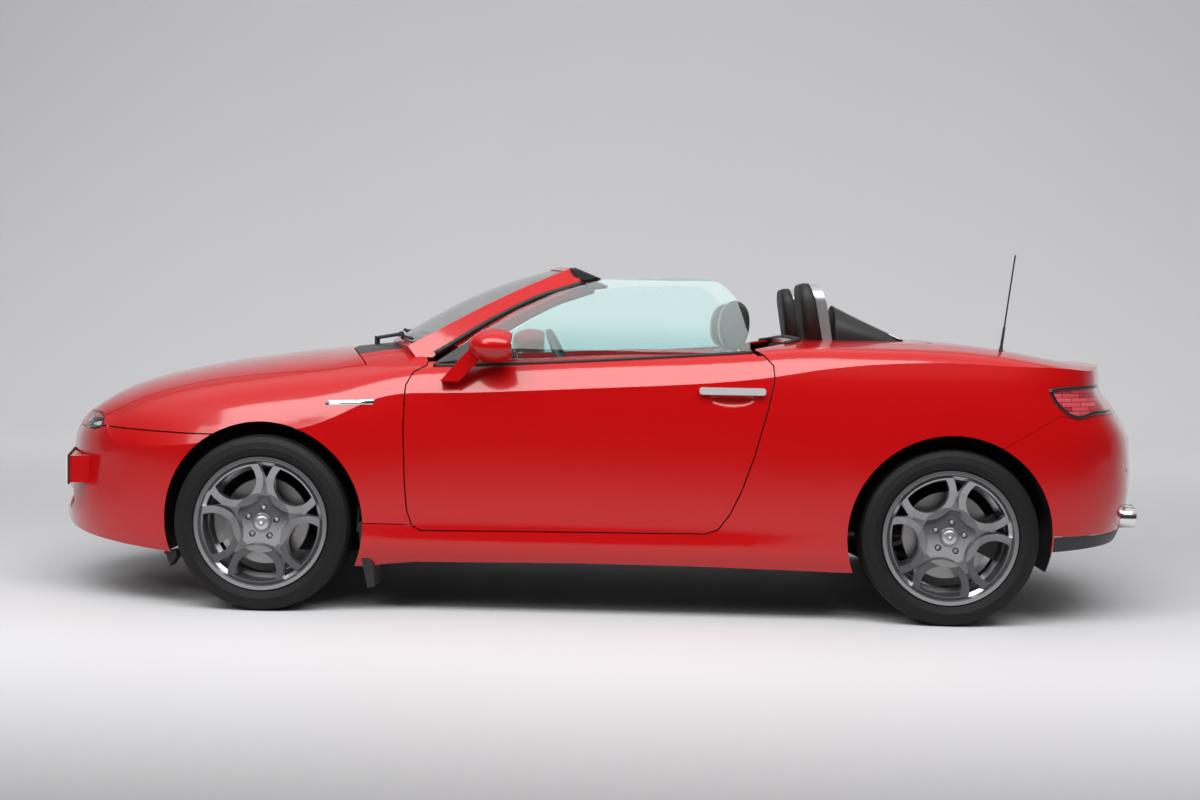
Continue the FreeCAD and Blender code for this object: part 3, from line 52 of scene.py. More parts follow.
NODES = frame["nodes"]
SLOT_OF = {entry["node"]: entry["material_slot"] for entry in frame["record"]["subparts"]}
CORNERS = ("front_left", "front_right", "rear_left", "rear_right")
LEFT, RIGHT = -1, 1
DOWN = Vector((0, 0, -1))
ABOVE_CAR = 1.6
BESIDE_CAR = 1.3

# Materials


def object_place(made):
    """Object coordinates of the surface, as a vector and as one output for each axis."""
    nodes, links = made.node_tree.nodes, made.node_tree.links
    place = nodes.new("ShaderNodeTexCoord").outputs["Object"]
    axes = nodes.new("ShaderNodeSeparateXYZ")
    links.new(place, axes.inputs[0])
    return place, axes.outputs


def calculator(made):
    """Function that adds math nodes to a finish and returns their output."""
    nodes, links = made.node_tree.nodes, made.node_tree.links

    def calc(operation, first, second=None):
        node = nodes.new("ShaderNodeMath")
        node.operation = operation
        for socket, value in zip(node.inputs, (first, second)):
            if isinstance(value, (int, float)):
                socket.default_value = value
            elif value is not None:
                links.new(value, socket)
        return node.outputs[0]

    return calc


def smooth_share(made, value, start, end, least=0.0):
    """Output that goes smoothly from least to 1 while a value goes from start to end."""
    nodes, links = made.node_tree.nodes, made.node_tree.links
    reach = nodes.new("ShaderNodeMapRange")
    reach.interpolation_type = "SMOOTHSTEP"
    reach.inputs["From Min"].default_value = start
    reach.inputs["From Max"].default_value = end
    reach.inputs["To Min"].default_value = least
    links.new(value, reach.inputs["Value"])
    return reach.outputs["Result"]


def add_relief(made, height, strength, distance, sunk=False):
    """Bump on a finish that follows a height output."""
    nodes, links = made.node_tree.nodes, made.node_tree.links
    relief = nodes.new("ShaderNodeBump")
    relief.invert = sunk
    relief.inputs["Strength"].default_value = strength
    relief.inputs["Distance"].default_value = distance
    links.new(height, relief.inputs["Height"])
    links.new(relief.outputs["Normal"], nodes["Principled BSDF"].inputs["Normal"])


def material(name, colour, rough, spread=0.08, grain=30.0, bump=0.0, bump_grain=None, **shine):
    """Finish whose colour wanders a little over the surface, with an optional fine relief."""
    made = bpy.data.materials.new(name)
    made.use_nodes = True
    nodes, links = made.node_tree.nodes, made.node_tree.links
    shader = nodes["Principled BSDF"]
    place = nodes.new("ShaderNodeTexCoord")
    cloud = nodes.new("ShaderNodeTexNoise")
    cloud.inputs["Scale"].default_value = grain
    cloud.inputs["Detail"].default_value = 4
    links.new(place.outputs["Object"], cloud.inputs["Vector"])
    ramp = nodes.new("ShaderNodeValToRGB")
    ramp.color_ramp.elements[0].position = 0.3
    ramp.color_ramp.elements[1].position = 0.7
    for element, share in zip(ramp.color_ramp.elements, (1 - spread, 1 + spread)):
        element.color = [min(1, part * share) for part in colour] + [1]
    links.new(cloud.outputs["Fac"], ramp.inputs["Fac"])
    links.new(ramp.outputs["Color"], shader.inputs["Base Color"])
    shader.inputs["Roughness"].default_value = rough
    for socket, value in shine.items():
        shader.inputs[socket.replace("_", " ")].default_value = value
    if bump:
        fine = nodes.new("ShaderNodeTexNoise")
        fine.inputs["Scale"].default_value = bump_grain or grain * 8
        fine.inputs["Detail"].default_value = 3
        links.new(place.outputs["Object"], fine.inputs["Vector"])
        add_relief(made, fine.outputs["Fac"], bump, 0.001)
    return made


def glass_material(name, tint, bend=1.2, painted_reflection_colour=None):
    """Clear pane that lets lamp light through, with a painted darker reflection at its foot if
    one is given.
    """
    made = material(name, tint, 0.0, spread=0.02, Transmission_Weight=1.0, IOR=bend,
                    Specular_IOR_Level=0.9)
    nodes, links = made.node_tree.nodes, made.node_tree.links
    through = nodes.new("ShaderNodeBsdfTransparent")
    through.inputs["Color"].default_value = [*tint, 1]
    rays = nodes.new("ShaderNodeLightPath")
    mix = nodes.new("ShaderNodeMixShader")
    links.new(rays.outputs["Is Shadow Ray"], mix.inputs[0])
    links.new(nodes["Principled BSDF"].outputs[0], mix.inputs[1])
    links.new(through.outputs[0], mix.inputs[2])
    links.new(mix.outputs[0], nodes["Material Output"].inputs["Surface"])
    # Painted reflection: the pane colour darkens towards its foot, standing in for the dark
    # surroundings it reflects
    if painted_reflection_colour:
        _, axes = object_place(made)
        ramp = nodes.new("ShaderNodeValToRGB")
        for element, colour in zip(ramp.color_ramp.elements, (painted_reflection_colour, tint)):
            element.color = [*colour, 1]
        links.new(smooth_share(made, axes["Z"], *PANE_REFLECTION_FADE), ramp.inputs["Fac"])
        links.new(ramp.outputs["Color"], nodes["Principled BSDF"].inputs["Base Color"])
    return made


def scuttle_material():
    """Black plastic between the bonnet and the screen, body colour at its two ends."""
    made = material("scuttle_finish", BLACK, 0.4, spread=0.2, grain=60)
    nodes, links = made.node_tree.nodes, made.node_tree.links
    _, axes = object_place(made)
    calc = calculator(made)
    base = nodes["Principled BSDF"].inputs["Base Color"]
    mix = nodes.new("ShaderNodeMix")
    mix.data_type = "RGBA"
    factor, dark, red = mix.inputs[0], mix.inputs[6], mix.inputs[7]
    links.new(calc("GREATER_THAN", calc("ABSOLUTE", axes["Y"]), SCUTTLE_RED_FROM), factor)
    links.new(base.links[0].from_socket, dark)
    red.default_value = (*RED, 1)
    links.new(mix.outputs[2], base)
    return made


def tread_material(corner, centre):
    """Tyre rubber with grooves cut across and around the tread, laid out about its own axle."""
    made = material("tyre_rubber_" + corner, (0.006, 0.006, 0.0064), 0.62, spread=0.25, grain=60,
                    bump=0.15, bump_grain=900, Specular_IOR_Level=0.28)
    _, axes = object_place(made)
    calc = calculator(made)
    x, y, z = (calc("SUBTRACT", axes[i], centre[i]) for i in range(3))
    turn = calc("ARCTAN2", z, x)
    distance = calc("SQRT", calc("ADD", calc("POWER", x, 2.0), calc("POWER", z, 2.0)))
    skew = calc("MULTIPLY", calc("ABSOLUTE", y), SIPE_SKEW)
    blocks = calc("SINE", calc("MULTIPLY", calc("ADD", turn, skew), float(SIPES)))
    ribs = calc("COSINE", calc("MULTIPLY", y, 2 * math.pi / RIB_PITCH))
    groove = calc("GREATER_THAN", ribs, 0.72)
    sipe = calc("MULTIPLY", calc("GREATER_THAN", blocks, 0.8), 0.6)
    depth = calc("MULTIPLY", calc("MAXIMUM", groove, sipe),
                 calc("GREATER_THAN", distance, TREAD_FROM))
    ring = calc("SINE", calc("MULTIPLY", distance, WALL_RINGS))
    wall = calc("MULTIPLY", calc("LESS_THAN", distance, WALL_UP_TO), calc("MULTIPLY", ring, 0.08))
    add_relief(made, calc("ADD", depth, wall), 0.8, 0.004, sunk=True)
    return made


def ribbed_lens(name):
    """Red lamp cover with level ribs in staggered blocks, paler where the reflector shows."""
    made = material(name, (0.40, 0.01, 0.02), 0.10, spread=0.1, grain=40, Coat_Weight=1.0,
                    Coat_Roughness=0.02)
    nodes, links = made.node_tree.nodes, made.node_tree.links
    place, axes = object_place(made)
    bricks = nodes.new("ShaderNodeTexBrick")
    bricks.offset = 0.5
    for socket, value in LENS_BLOCKS.items():
        bricks.inputs[socket].default_value = value
    flat = nodes.new("ShaderNodeCombineXYZ")
    links.new(axes["X"], flat.inputs["X"])
    links.new(axes["Z"], flat.inputs["Y"])
    links.new(flat.outputs[0], bricks.inputs["Vector"])
    links.new(bricks.outputs["Color"], nodes["Principled BSDF"].inputs["Base Color"])
    ribs = nodes.new("ShaderNodeTexWave")
    ribs.bands_direction = "Z"
    ribs.inputs["Scale"].default_value = 19.0
    links.new(place, ribs.inputs["Vector"])
    add_relief(made, ribs.outputs["Fac"], 0.35, 0.002)
    return made


RED = (0.47, 0.0004, 0.0014)
BLACK = (0.016, 0.016, 0.017)
# Heights over which the painted reflection low on the door panes fades out
PANE_REFLECTION_FADE = (0.925, 1.125)
SCUTTLE_RED_FROM = 0.575
TREAD_FROM, WALL_UP_TO = 0.306, 0.300
RIB_PITCH, SIPES, SIPE_SKEW, WALL_RINGS = 0.042, 70, 9.0, 900.0
LENS_BLOCKS = {
    "Color1": (0.72, 0.10, 0.13, 1), "Color2": (0.34, 0.004, 0.010, 1),
    "Mortar": (0.10, 0.001, 0.003, 1), "Scale": 1.0, "Mortar Size": 0.0016, "Mortar Smooth": 0.6,
    "Bias": -0.1, "Brick Width": 0.078, "Row Height": 0.0165}

PAINT = material("red_paint", RED, 0.34, spread=0.05, grain=900, Coat_Weight=1.0,
                 Coat_Roughness=0.10, Coat_IOR=1.45, Specular_IOR_Level=0.2)
BLACK_PLASTIC = material("black_plastic", BLACK, 0.45, spread=0.2, grain=60, bump=0.15,
                         bump_grain=700)
GLOSS_BLACK = material("gloss_black", (0.008, 0.008, 0.009), 0.12, spread=0.2, grain=50)
RUBBER = material("seal_rubber", (0.012, 0.012, 0.012), 0.55, spread=0.2, grain=80, bump=0.1)
BLACK_METAL = material("black_metal", (0.02, 0.02, 0.021), 0.5, spread=0.3, grain=25, bump=0.2)
WHEEL_GREY = material("wheel_grey", (0.33, 0.33, 0.34), 0.25, spread=0.06, grain=500,
                      Metallic=0.85, Coat_Weight=0.7, Coat_Roughness=0.05)
DISC_STEEL = material("disc_steel", (0.42, 0.41, 0.4), 0.32, spread=0.12, grain=14, Metallic=0.9,
                      bump=0.1)
CARRIER = material("cast_carrier", (0.3, 0.3, 0.3), 0.5, spread=0.15, grain=40, Metallic=0.6,
                   bump=0.3)
SATIN = material("satin_chrome", (0.80, 0.80, 0.81), 0.26, spread=0.02, grain=60, Metallic=0.5)
CHROME = material("chrome", (0.78, 0.78, 0.79), 0.06, spread=0.03, grain=60, Metallic=1.0)
SILVER = material("silver", (0.55, 0.55, 0.56), 0.3, spread=0.04, grain=300, Metallic=0.8)
LEATHER = material("black_leather", (0.014, 0.0135, 0.013), 0.42, spread=0.25, grain=45,
                   bump=0.25, bump_grain=900, Sheen_Weight=0.1)
DASH = material("dash_skin", (0.014, 0.014, 0.015), 0.6, spread=0.2, grain=40, bump=0.5,
                bump_grain=500)
STEEL = material("dull_steel", (0.35, 0.34, 0.32), 0.35, spread=0.2, grain=16, Metallic=0.95,
                 bump=0.1)
PLATE = material("plate_white", (0.72, 0.72, 0.7), 0.4, spread=0.03, grain=80)
UNDERSEAL = material("underseal", (0.02, 0.02, 0.02), 0.85, spread=0.4, grain=90, bump=0.6,
                     bump_grain=600)
CLEAR = glass_material("tinted_glass", (0.80, 0.95, 0.93), bend=1.42)
# Door panes carry a painted reflection: a darker colour low on the pane that fades out upward
PANE = glass_material("pane_glass_painted_reflection", (0.78, 0.94, 0.93), bend=1.35, painted_reflection_colour=(0.50, 0.77, 0.76))
LAMP_BODY = material("lamp_body", (0.05, 0.05, 0.055), 0.3, spread=0.2, grain=40, Metallic=0.6)
LENS = glass_material("lens_clear", (0.92, 0.93, 0.94))
RED_LENS = ribbed_lens("lens_red")
MIRROR = material("mirror_glass", (0.75, 0.77, 0.78), 0.03, spread=0.02, Metallic=1.0)
WHITE_LENS = material("marker_lens", (0.75, 0.75, 0.74), 0.15, spread=0.04, grain=120,
                      Coat_Weight=0.8)

FINISH = {
    "red_paint": PAINT, "black_plastic": BLACK_PLASTIC, "black_metal": BLACK_METAL,
    "wheel_grey": WHEEL_GREY, "disc_steel": DISC_STEEL, "carrier": CARRIER, "clear_glass": CLEAR,
    "lens_clear": LENS, "lens_red": RED_LENS, "chrome": CHROME, "silver": SILVER,
    "leather": LEATHER, "dash": DASH, "steel": STEEL, "plate": PLATE, "underseal": UNDERSEAL}


def dress(node, finish):
    """Give a CAD node one finish."""
    mesh = NODES[node].data
    mesh.materials.clear()
    mesh.materials.append(finish)


for node, slot in SLOT_OF.items():
    if not node.startswith("tyre_"):
        dress(node, FINISH[slot])
for node in ("handle_left", "handle_right"):
    dress(node, SATIN)
for node in ("door_glass_left", "door_glass_right"):
    dress(node, PANE)
dress("headlamps", LAMP_BODY)
dress("scuttle_panel", scuttle_material())


def middle(node):
    low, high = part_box(node)
    return (low + high) / 2


for corner in CORNERS:
    dress("tyre_" + corner, tread_material(corner, middle("tyre_" + corner)))

# Piece builders


def skin_of(*names):
    """Search tree over the meshes of CAD nodes."""
    points, faces = [], []
    for name in names:
        mesh = NODES[name].data
        start = len(points)
        points += [vertex.co.copy() for vertex in mesh.vertices]
        faces += [[start + i for i in polygon.vertices] for polygon in mesh.polygons]
    return BVHTree.FromPolygons(points, faces)


def side_point(tree, x, z, side, lift=0.0):
    """Point on the skin seen from the given side, lifted off it; None beside the skin."""
    hit, normal, _, _ = tree.ray_cast(Vector((x, side * BESIDE_CAR, z)), Vector((0, -side, 0)))
    if hit is None:
        return None
    if normal.y * side < 0:
        normal = -normal
    return hit + normal * lift


def top_point(tree, x, y, shift):
    """Point on the skin seen from above, shifted by a vector; None beside the skin."""
    hit, _, _, _ = tree.ray_cast(Vector((x, y, ABOVE_CAR)), DOWN)
    return None if hit is None else hit + Vector(shift)


def found(points):
    return [point for point in points if point is not None]


def fitted(name, mesh, finish, body, smooth=True):
    """Object of a mesh that rides on a body and wears the given finish."""
    made = bpy.data.objects.new(name, mesh)
    bpy.context.collection.objects.link(made)
    for polygon in mesh.polygons:
        polygon.use_smooth = smooth
    mesh.materials.append(finish)
    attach(made, body)
    return made


def piece(name, points, faces, finish, body, smooth=True):
    """New mesh piece from points and faces."""
    mesh = bpy.data.meshes.new(name)
    mesh.from_pydata([tuple(p) for p in points], [], faces)
    mesh.validate()
    settle_normals(mesh)
    return fitted(name, mesh, finish, body, smooth)


def settle_normals(mesh):
    """Turn all faces of a mesh outwards."""
    work = bmesh.new()
    work.from_mesh(mesh)
    bmesh.ops.recalc_face_normals(work, faces=work.faces)
    work.to_mesh(mesh)
    work.free()


def band_faces(rings, sides):
    """Faces that join rings of points one after another, open at both ends."""
    faces = []
    for i in range(rings - 1):
        for j in range(sides):
            k = (j + 1) % sides
            faces.append([i * sides + j, i * sides + k, (i + 1) * sides + k, (i + 1) * sides + j])
    return faces


def ring_faces(rings, sides):
    """Faces that join rings of points, with a face across each end."""
    ends = [list(range(sides)), [(rings - 1) * sides + j for j in range(sides)]]
    return band_faces(rings, sides) + ends


def tube(name, path, radius, finish, body, sides=10, squash=1.0):
    """Round bar along a path, flattened along its side direction by squash."""
    path = [Vector(p) for p in path]
    points = []
    for i, here in enumerate(path):
        before = path[max(i - 1, 0)]
        after = path[min(i + 1, len(path) - 1)]
        along = (after - before).normalized()
        across = along.cross(-DOWN).normalized()
        over = across.cross(along).normalized()
        for j in range(sides):
            turn = 2 * math.pi * j / sides
            points.append(here + across * math.cos(turn) * radius * squash
                          + over * math.sin(turn) * radius)
    return piece(name, points, ring_faces(len(path), sides), finish, body)


def turned(name, profile, place, axis, finish, body, sides=32):
    """Piece turned from (radius, height) points about an axis through a place."""
    axis = Vector(axis).normalized()
    first = axis.orthogonal().normalized()
    second = axis.cross(first)
    points = []
    for radius, height in profile:
        for j in range(sides):
            turn = 2 * math.pi * j / sides
            points.append(Vector(place) + axis * height
                          + (first * math.cos(turn) + second * math.sin(turn)) * radius)
    return piece(name, points, ring_faces(len(profile), sides), finish, body)


def rounded_block(name, size, place, finish, body, radius, turn=None):
    """Block with rounded edges, centred on a place."""
    work = bmesh.new()
    bmesh.ops.create_cube(work, size=1)
    bmesh.ops.scale(work, vec=Vector(size), verts=work.verts)
    bmesh.ops.bevel(work, geom=work.edges[:], offset=radius, segments=3, profile=0.5,
                    affect="EDGES")
    if turn is not None:
        bmesh.ops.rotate(work, matrix=turn, verts=work.verts)
    bmesh.ops.translate(work, vec=Vector(place), verts=work.verts)
    mesh = bpy.data.meshes.new(name)
    work.to_mesh(mesh)
    work.free()
    return fitted(name, mesh, finish, body)


def both(side):
    return "left" if side == LEFT else "right"


def arc_points(points, steps):
    """Smooth run of points through a few guide points."""
    points = [Vector(p) for p in points]
    padded = [points[0] * 2 - points[1]] + points + [points[-1] * 2 - points[-2]]
    run = []
    for i in range(1, len(padded) - 2):
        a, b, c, d = padded[i - 1:i + 3]
        for j in range(steps):
            t = j / steps
            run.append(0.5 * ((2 * b) + (c - a) * t + (2 * a - 5 * b + 4 * c - d) * t * t
                              + (3 * b - a - 3 * c + d) * t ** 3))
    run.append(points[-1])
    return run


# Window seals along the top of each door

BELT_FRONT, BELT_REAR = -0.585, 0.590
BELT_LOW, BELT_RISE = 0.913, 0.070
BELT_STEPS = 40
for side in (LEFT, RIGHT):
    door = "door_" + both(side)
    tree = skin_of(door)
    path = []
    for i in range(BELT_STEPS + 1):
        share = i / BELT_STEPS
        path.append(side_point(tree, BELT_FRONT + (BELT_REAR - BELT_FRONT) * share,
                               BELT_LOW + BELT_RISE * share ** 1.25, side, 0.002))
    tube("belt_seal_" + both(side), found(path), 0.008, RUBBER, door,
         squash=0.5)

# Wheel bolts and plain centre caps

HUB_FACE, BOLT_FACE = 0.084, 0.0605
BOLT_CIRCLE, BOLTS = 0.055, 5
SPOKE_TURN = {"front": -23, "rear": -27}
CAP_PROFILE = [(0.0, 0.0035), (0.014, 0.0032), (0.024, 0.001), (0.030, -0.004), (0.031, -0.014)]
BOLT_PROFILE = [(0.0, 0.010), (0.0075, 0.010), (0.0095, 0.008), (0.0095, 0.0)]
for corner in CORNERS:
    side = LEFT if "left" in corner else RIGHT
    centre = middle("tyre_" + corner)
    body = "wheel_" + corner
    out = Vector((0, side, 0))
    turned("wheel_cap_" + corner, CAP_PROFILE, centre + out * HUB_FACE, out, SILVER, body)
    for k in range(BOLTS):
        turn = math.radians(SPOKE_TURN[corner.split("_")[0]] + 360 / BOLTS * (k + 0.5))
        place = centre + Vector((math.cos(turn), 0, math.sin(turn))) * BOLT_CIRCLE
        turned("wheel_bolt_%s_%d" % (corner, k + 1), BOLT_PROFILE, place + out * BOLT_FACE, out,
               CARRIER, body, sides=6)

# Trims that follow the skin


def middle_of(outline):
    """Mean of an outline's points."""
    return Vector((sum(p[0] for p in outline), sum(p[1] for p in outline))) / len(outline)


def skin_pad(name, tree, side, outline, lift, finish):
    """Low crowned pad on the body's skin over an outline of (x, z) points."""
    centre = middle_of(outline)
    rounds, sunk = 5, -0.003
    points = []
    for i in range(rounds + 1):
        share = 1 - i / rounds
        height = lift * math.sqrt(1 - share * share) if i else sunk
        for x, z in outline:
            spot = centre + (Vector((x, z)) - centre) * share
            points.append(side_point(tree, spot.x, spot.y, side, height))
    return piece(name, points, band_faces(rounds + 1, len(outline)), finish, "car_body")


def stadium(x0, x1, z, half, slope):
    """Outline of a sloping bar with round ends."""
    steps = 8
    outline = []
    for centre, start in ((x1 - half, -90), (x0 + half, 90)):
        for i in range(steps + 1):
            turn = math.radians(start + 180 * i / steps)
            x = centre + half * math.cos(turn)
            outline.append((x, z + half * math.sin(turn) + slope * (x - x0)))
    return outline


def circle(x, z, radius):
    """Outline of a round spot."""
    steps = 16
    return [(x + radius * math.cos(2 * math.pi * i / steps),
             z + radius * math.sin(2 * math.pi * i / steps)) for i in range(steps)]


wings = skin_of("front_wings")
tail = skin_of("rear_bumper")
nose = skin_of("front_bumper")
REPEATER_SLOPE = 0.045
for side in (LEFT, RIGHT):
    name = both(side)
    for label, tree, outline, lift, finish, slot in (
            ("side_repeater_", wings, stadium(-0.985, -0.782, 0.772, 0.0105, REPEATER_SLOPE),
             0.007, CHROME, "chrome"),
            ("repeater_lens_", wings, stadium(-0.972, -0.850, 0.7745, 0.0055, REPEATER_SLOPE),
             0.0098, WHITE_LENS, "lens_clear"),
            ("rear_sensor_", tail, circle(2.035, 0.560, 0.011), 0.002, PAINT, "red_paint"),
            ("front_sensor_", nose, circle(-2.010, 0.545, 0.010), 0.002, PAINT, "red_paint")):
        skin_pad(label + name, tree, side, outline, lift, finish)

# Seal below each windscreen pillar and behind the header rail, with a cap at each end of the rail

PILLAR_LINE = [(-0.590, 0.735, 0.958), (-0.520, 0.722, 1.002), (-0.375, 0.703, 1.093),
               (-0.225, 0.682, 1.171), (-0.120, 0.668, 1.209), (-0.050, 0.655, 1.232)]
HEADER_LINE = [(-0.092, -0.560, 1.264), (-0.114, -0.430, 1.274), (-0.138, -0.220, 1.283),
               (-0.148, 0.0, 1.286)]
CAP_OUTLINE = [(-0.097, 1.291), (-0.075, 1.2925), (0.019, 1.2545), (0.008, 1.244),
               (-0.074, 1.235)]
CAP_CENTRE = (-0.044, 1.262)
CAP_RINGS = ((0.500, 0.80), (0.510, 1.0), (0.620, 1.0), (0.634, 0.90), (0.640, 0.70))


def side_rings(outline, centre, rings):
    """Rings of an (x, z) outline, each at a distance along Y and shrunk to a share."""
    points = []
    for y, share in rings:
        for x, z in outline:
            points.append(Vector((centre[0] + (x - centre[0]) * share, y,
                                  centre[1] + (z - centre[1]) * share)))
    return points


for side in (LEFT, RIGHT):
    line = arc_points([(x, side * y, z) for x, y, z in PILLAR_LINE], 6)
    tube("pillar_seal_" + both(side), line, 0.0105, RUBBER, "car_body")
    points = side_rings(CAP_OUTLINE, CAP_CENTRE, [(side * y, share) for y, share in CAP_RINGS])
    piece("header_cap_" + both(side), points, ring_faces(len(CAP_RINGS), len(CAP_OUTLINE)),
          BLACK_PLASTIC, "car_body", smooth=False)
header = HEADER_LINE + [(x, -y, z) for x, y, z in HEADER_LINE[-2::-1]]
tube("header_seal", arc_points(header, 6), 0.011, RUBBER, "car_body")

# Mirror glasses and the dark corner pieces ahead of the door panes


def ellipse_plate(name, place, across, upward, finish, body):
    """Thin oval plate facing the tail, slightly domed."""
    sides, thick = 36, 0.002
    points = []
    for share, depth in ((1.0, 0.0), (1.0, 0.5), (0.93, 1.0), (0.5, 1.15), (0.02, 1.2)):
        for j in range(sides):
            turn = 2 * math.pi * j / sides
            points.append(Vector(place) + Vector((depth * thick, math.cos(turn) * across * share,
                                                  math.sin(turn) * upward * share)))
    return piece(name, points, ring_faces(5, sides), finish, body)


MIRROR_Y, MIRROR_Z = 0.908, 0.994
CORNER_OUTLINE = [(-0.580, 0.926), (-0.470, 0.938), (-0.432, 0.952), (-0.428, 1.030)]
PANE_Y = 0.790
for side in (LEFT, RIGHT):
    name = both(side)
    door = "door_" + name
    ellipse_plate("mirror_rim_" + name, (-0.2885, side * MIRROR_Y, MIRROR_Z), 0.0660, 0.0435,
                  GLOSS_BLACK, door)
    ellipse_plate("mirror_glass_" + name, (-0.2865, side * MIRROR_Y, MIRROR_Z), 0.0600, 0.0385,
                  MIRROR, door)
    pane_skin = skin_of("door_glass_" + name)
    points = [side_point(pane_skin, x, z, side, lift) or Vector((x, side * PANE_Y, z))
              for lift in (0.0004, 0.003) for x, z in CORNER_OUTLINE]
    piece("mirror_corner_" + name, points, ring_faces(2, 4), BLACK_PLASTIC, door,
          smooth=False)

# Frame round the blank front plate

PLATE_CORNER = (-2.020, -0.640, 0)
PLATE_TURN = Matrix.Rotation(math.radians(16.3), 4, "Z")
holder = rounded_block("front_plate_holder", (0.008, 0.526, 0.116), (0.0075, 0.260, 0.4855),
                       BLACK_PLASTIC, "car_body", 0.003)
holder.data.transform(Matrix.Translation(PLATE_CORNER) @ PLATE_TURN)

# Air deflectors ahead of the front wheels, mud flaps behind them, exhaust sleeves, aerial base


def side_panel(name, outline, near, far):
    """Rubber slab of an (x, z) outline between two distances from the middle of the car."""
    edge = (far - near) * 0.06
    rings = ((near, 0.94), (near + edge, 1.0), (far - edge, 1.0), (far, 0.94))
    points = side_rings(outline, middle_of(outline), rings)
    return piece(name, points, ring_faces(4, len(outline)), RUBBER, "car_body",
                 smooth=False)


DEFLECTOR = [(-1.593, 0.196), (-1.545, 0.206), (-1.541, 0.184), (-1.568, 0.143), (-1.583, 0.190)]
MUD_FLAP = [(-0.850, 0.330), (-0.842, 0.222), (-0.814, 0.088), (-0.786, 0.097), (-0.790, 0.170),
            (-0.826, 0.260), (-0.836, 0.335)]
TIPS = (("outer", 0.568, 0.062), ("inner", 0.470, 0.084))
TIP_START, TIP_HEIGHT = 2.007, 0.380
TAILWARDS = (1, 0, 0)
for side in (LEFT, RIGHT):
    name = both(side)
    side_panel("air_deflector_" + name, DEFLECTOR, side * 0.720, side * 0.800)
    side_panel("mud_flap_" + name, MUD_FLAP, side * 0.720, side * 0.862)
    for label, offset, length in TIPS:
        sleeve = [(0.0380, 0.0), (0.0395, 0.001), (0.0395, length), (0.0385, length + 0.002),
                  (0.0355, length + 0.002), (0.0345, length)]
        mouth = [(0.0, 0.0016), (0.0340, 0.0016), (0.0340, -0.001)]
        for part, profile, start, finish in (("sleeve", sleeve, TIP_START, CHROME),
                                             ("mouth", mouth, TIP_START + length, BLACK_METAL)):
            turned("exhaust_%s_%s_%s" % (part, label, name), profile,
                   (start, side * offset, TIP_HEIGHT), TAILWARDS, finish, "car_body")
AERIAL_FOOT = Vector((1.528, -0.600, 0.900))
AERIAL_LEAN = math.radians(7)
turned("aerial_base", [(0.0075, 0.100), (0.0072, 0.112), (0.0055, 0.130), (0.0048, 0.196),
                       (0.0036, 0.200)], AERIAL_FOOT,
       (math.sin(AERIAL_LEAN), 0, math.cos(AERIAL_LEAN)), RUBBER, "car_body",
       sides=14)

# Wiper blades, parked along the foot of the windscreen

glass_skin = skin_of("windscreen_glass", "windscreen_frame")
SCREEN_FOOT, SCREEN_SWEEP, SCREEN_HALF = -0.845, 0.150, 0.69
BLADE_STEPS = 16
for number, (y0, y1, rise) in enumerate(((-0.64, -0.06, 0.030), (0.0, 0.56, 0.042))):
    path = []
    for i in range(BLADE_STEPS + 1):
        y = y0 + (y1 - y0) * i / BLADE_STEPS
        x = SCREEN_FOOT + SCREEN_SWEEP * (y / SCREEN_HALF) ** 2 + rise
        path.append(top_point(glass_skin, x, y, (-0.006, 0, 0.011)))
    tube("wiper_blade_%d" % (number + 1), found(path), 0.0065, RUBBER, "car_body",
         sides=8)

# Seats: leather forms with raised sides, sewn seams and plain rails


def seat_form(name, outline, half, centre_y, bump):
    """Closed leather form swept across the seat; each outline point says how far it bulges."""
    stations = [-1.0, -0.985, -0.94, -0.86, -0.76, -0.66, -0.58, -0.4, -0.2, 0.0]
    stations += [-v for v in stations[-2::-1]]
    middle_x, middle_z = middle_of(outline)
    bolster = 0.80
    points = []
    for v in stations:
        edge = max(0.0, (abs(v) - bolster) / (1 - bolster))
        shrink = 1 - 0.16 * edge ** 2.5
        swell = bump * math.exp(-((abs(v) - bolster) / 0.14) ** 2)
        sag = 0.006 * math.cos(v * math.pi * 0.7)
        for x, z, push_x, push_z in outline:
            points.append(Vector((middle_x + (x - middle_x) * shrink + push_x * (swell + sag),
                                  centre_y + v * half,
                                  middle_z + (z - middle_z) * shrink + push_z * (swell + sag))))
    made = piece(name, points, ring_faces(len(stations), len(outline)), LEATHER, "car_body")
    refine = made.modifiers.new("smooth_skin", "SUBSURF")
    refine.levels = refine.render_levels = 2
    apply_modifiers(made)
    return made


def apply_modifiers(made):
    """Bake the modifiers of a piece into its mesh."""
    graph = bpy.context.evaluated_depsgraph_get()
    baked = bpy.data.meshes.new_from_object(made.evaluated_get(graph))
    made.modifiers.clear()
    old = made.data
    made.data = baked
    bpy.data.meshes.remove(old)
    for polygon in made.data.polygons:
        polygon.use_smooth = True


def puffed(made):
    """Fill a cushion: cloth under pressure, with no point moved further than the cap."""
    pressure, cap, frames = 3.0, 0.006, 12
    scene = bpy.context.scene
    before = [vertex.co.copy() for vertex in made.data.vertices]
    cloth = made.modifiers.new("filling", "CLOTH")
    cloth.settings.use_pressure = True
    cloth.settings.uniform_pressure_force = pressure
    cloth.settings.effector_weights.gravity = 0
    cloth.settings.quality = 4
    for number in range(1, frames + 1):
        scene.frame_set(number)
    graph = bpy.context.evaluated_depsgraph_get()
    shape = made.evaluated_get(graph).to_mesh()
    for vertex, start, moved in zip(made.data.vertices, before, shape.vertices):
        shift = moved.co - start
        if shift.length > cap:
            shift *= cap / shift.length
        vertex.co = start + shift
    made.evaluated_get(graph).to_mesh_clear()
    made.modifiers.clear()
    scene.frame_set(1)


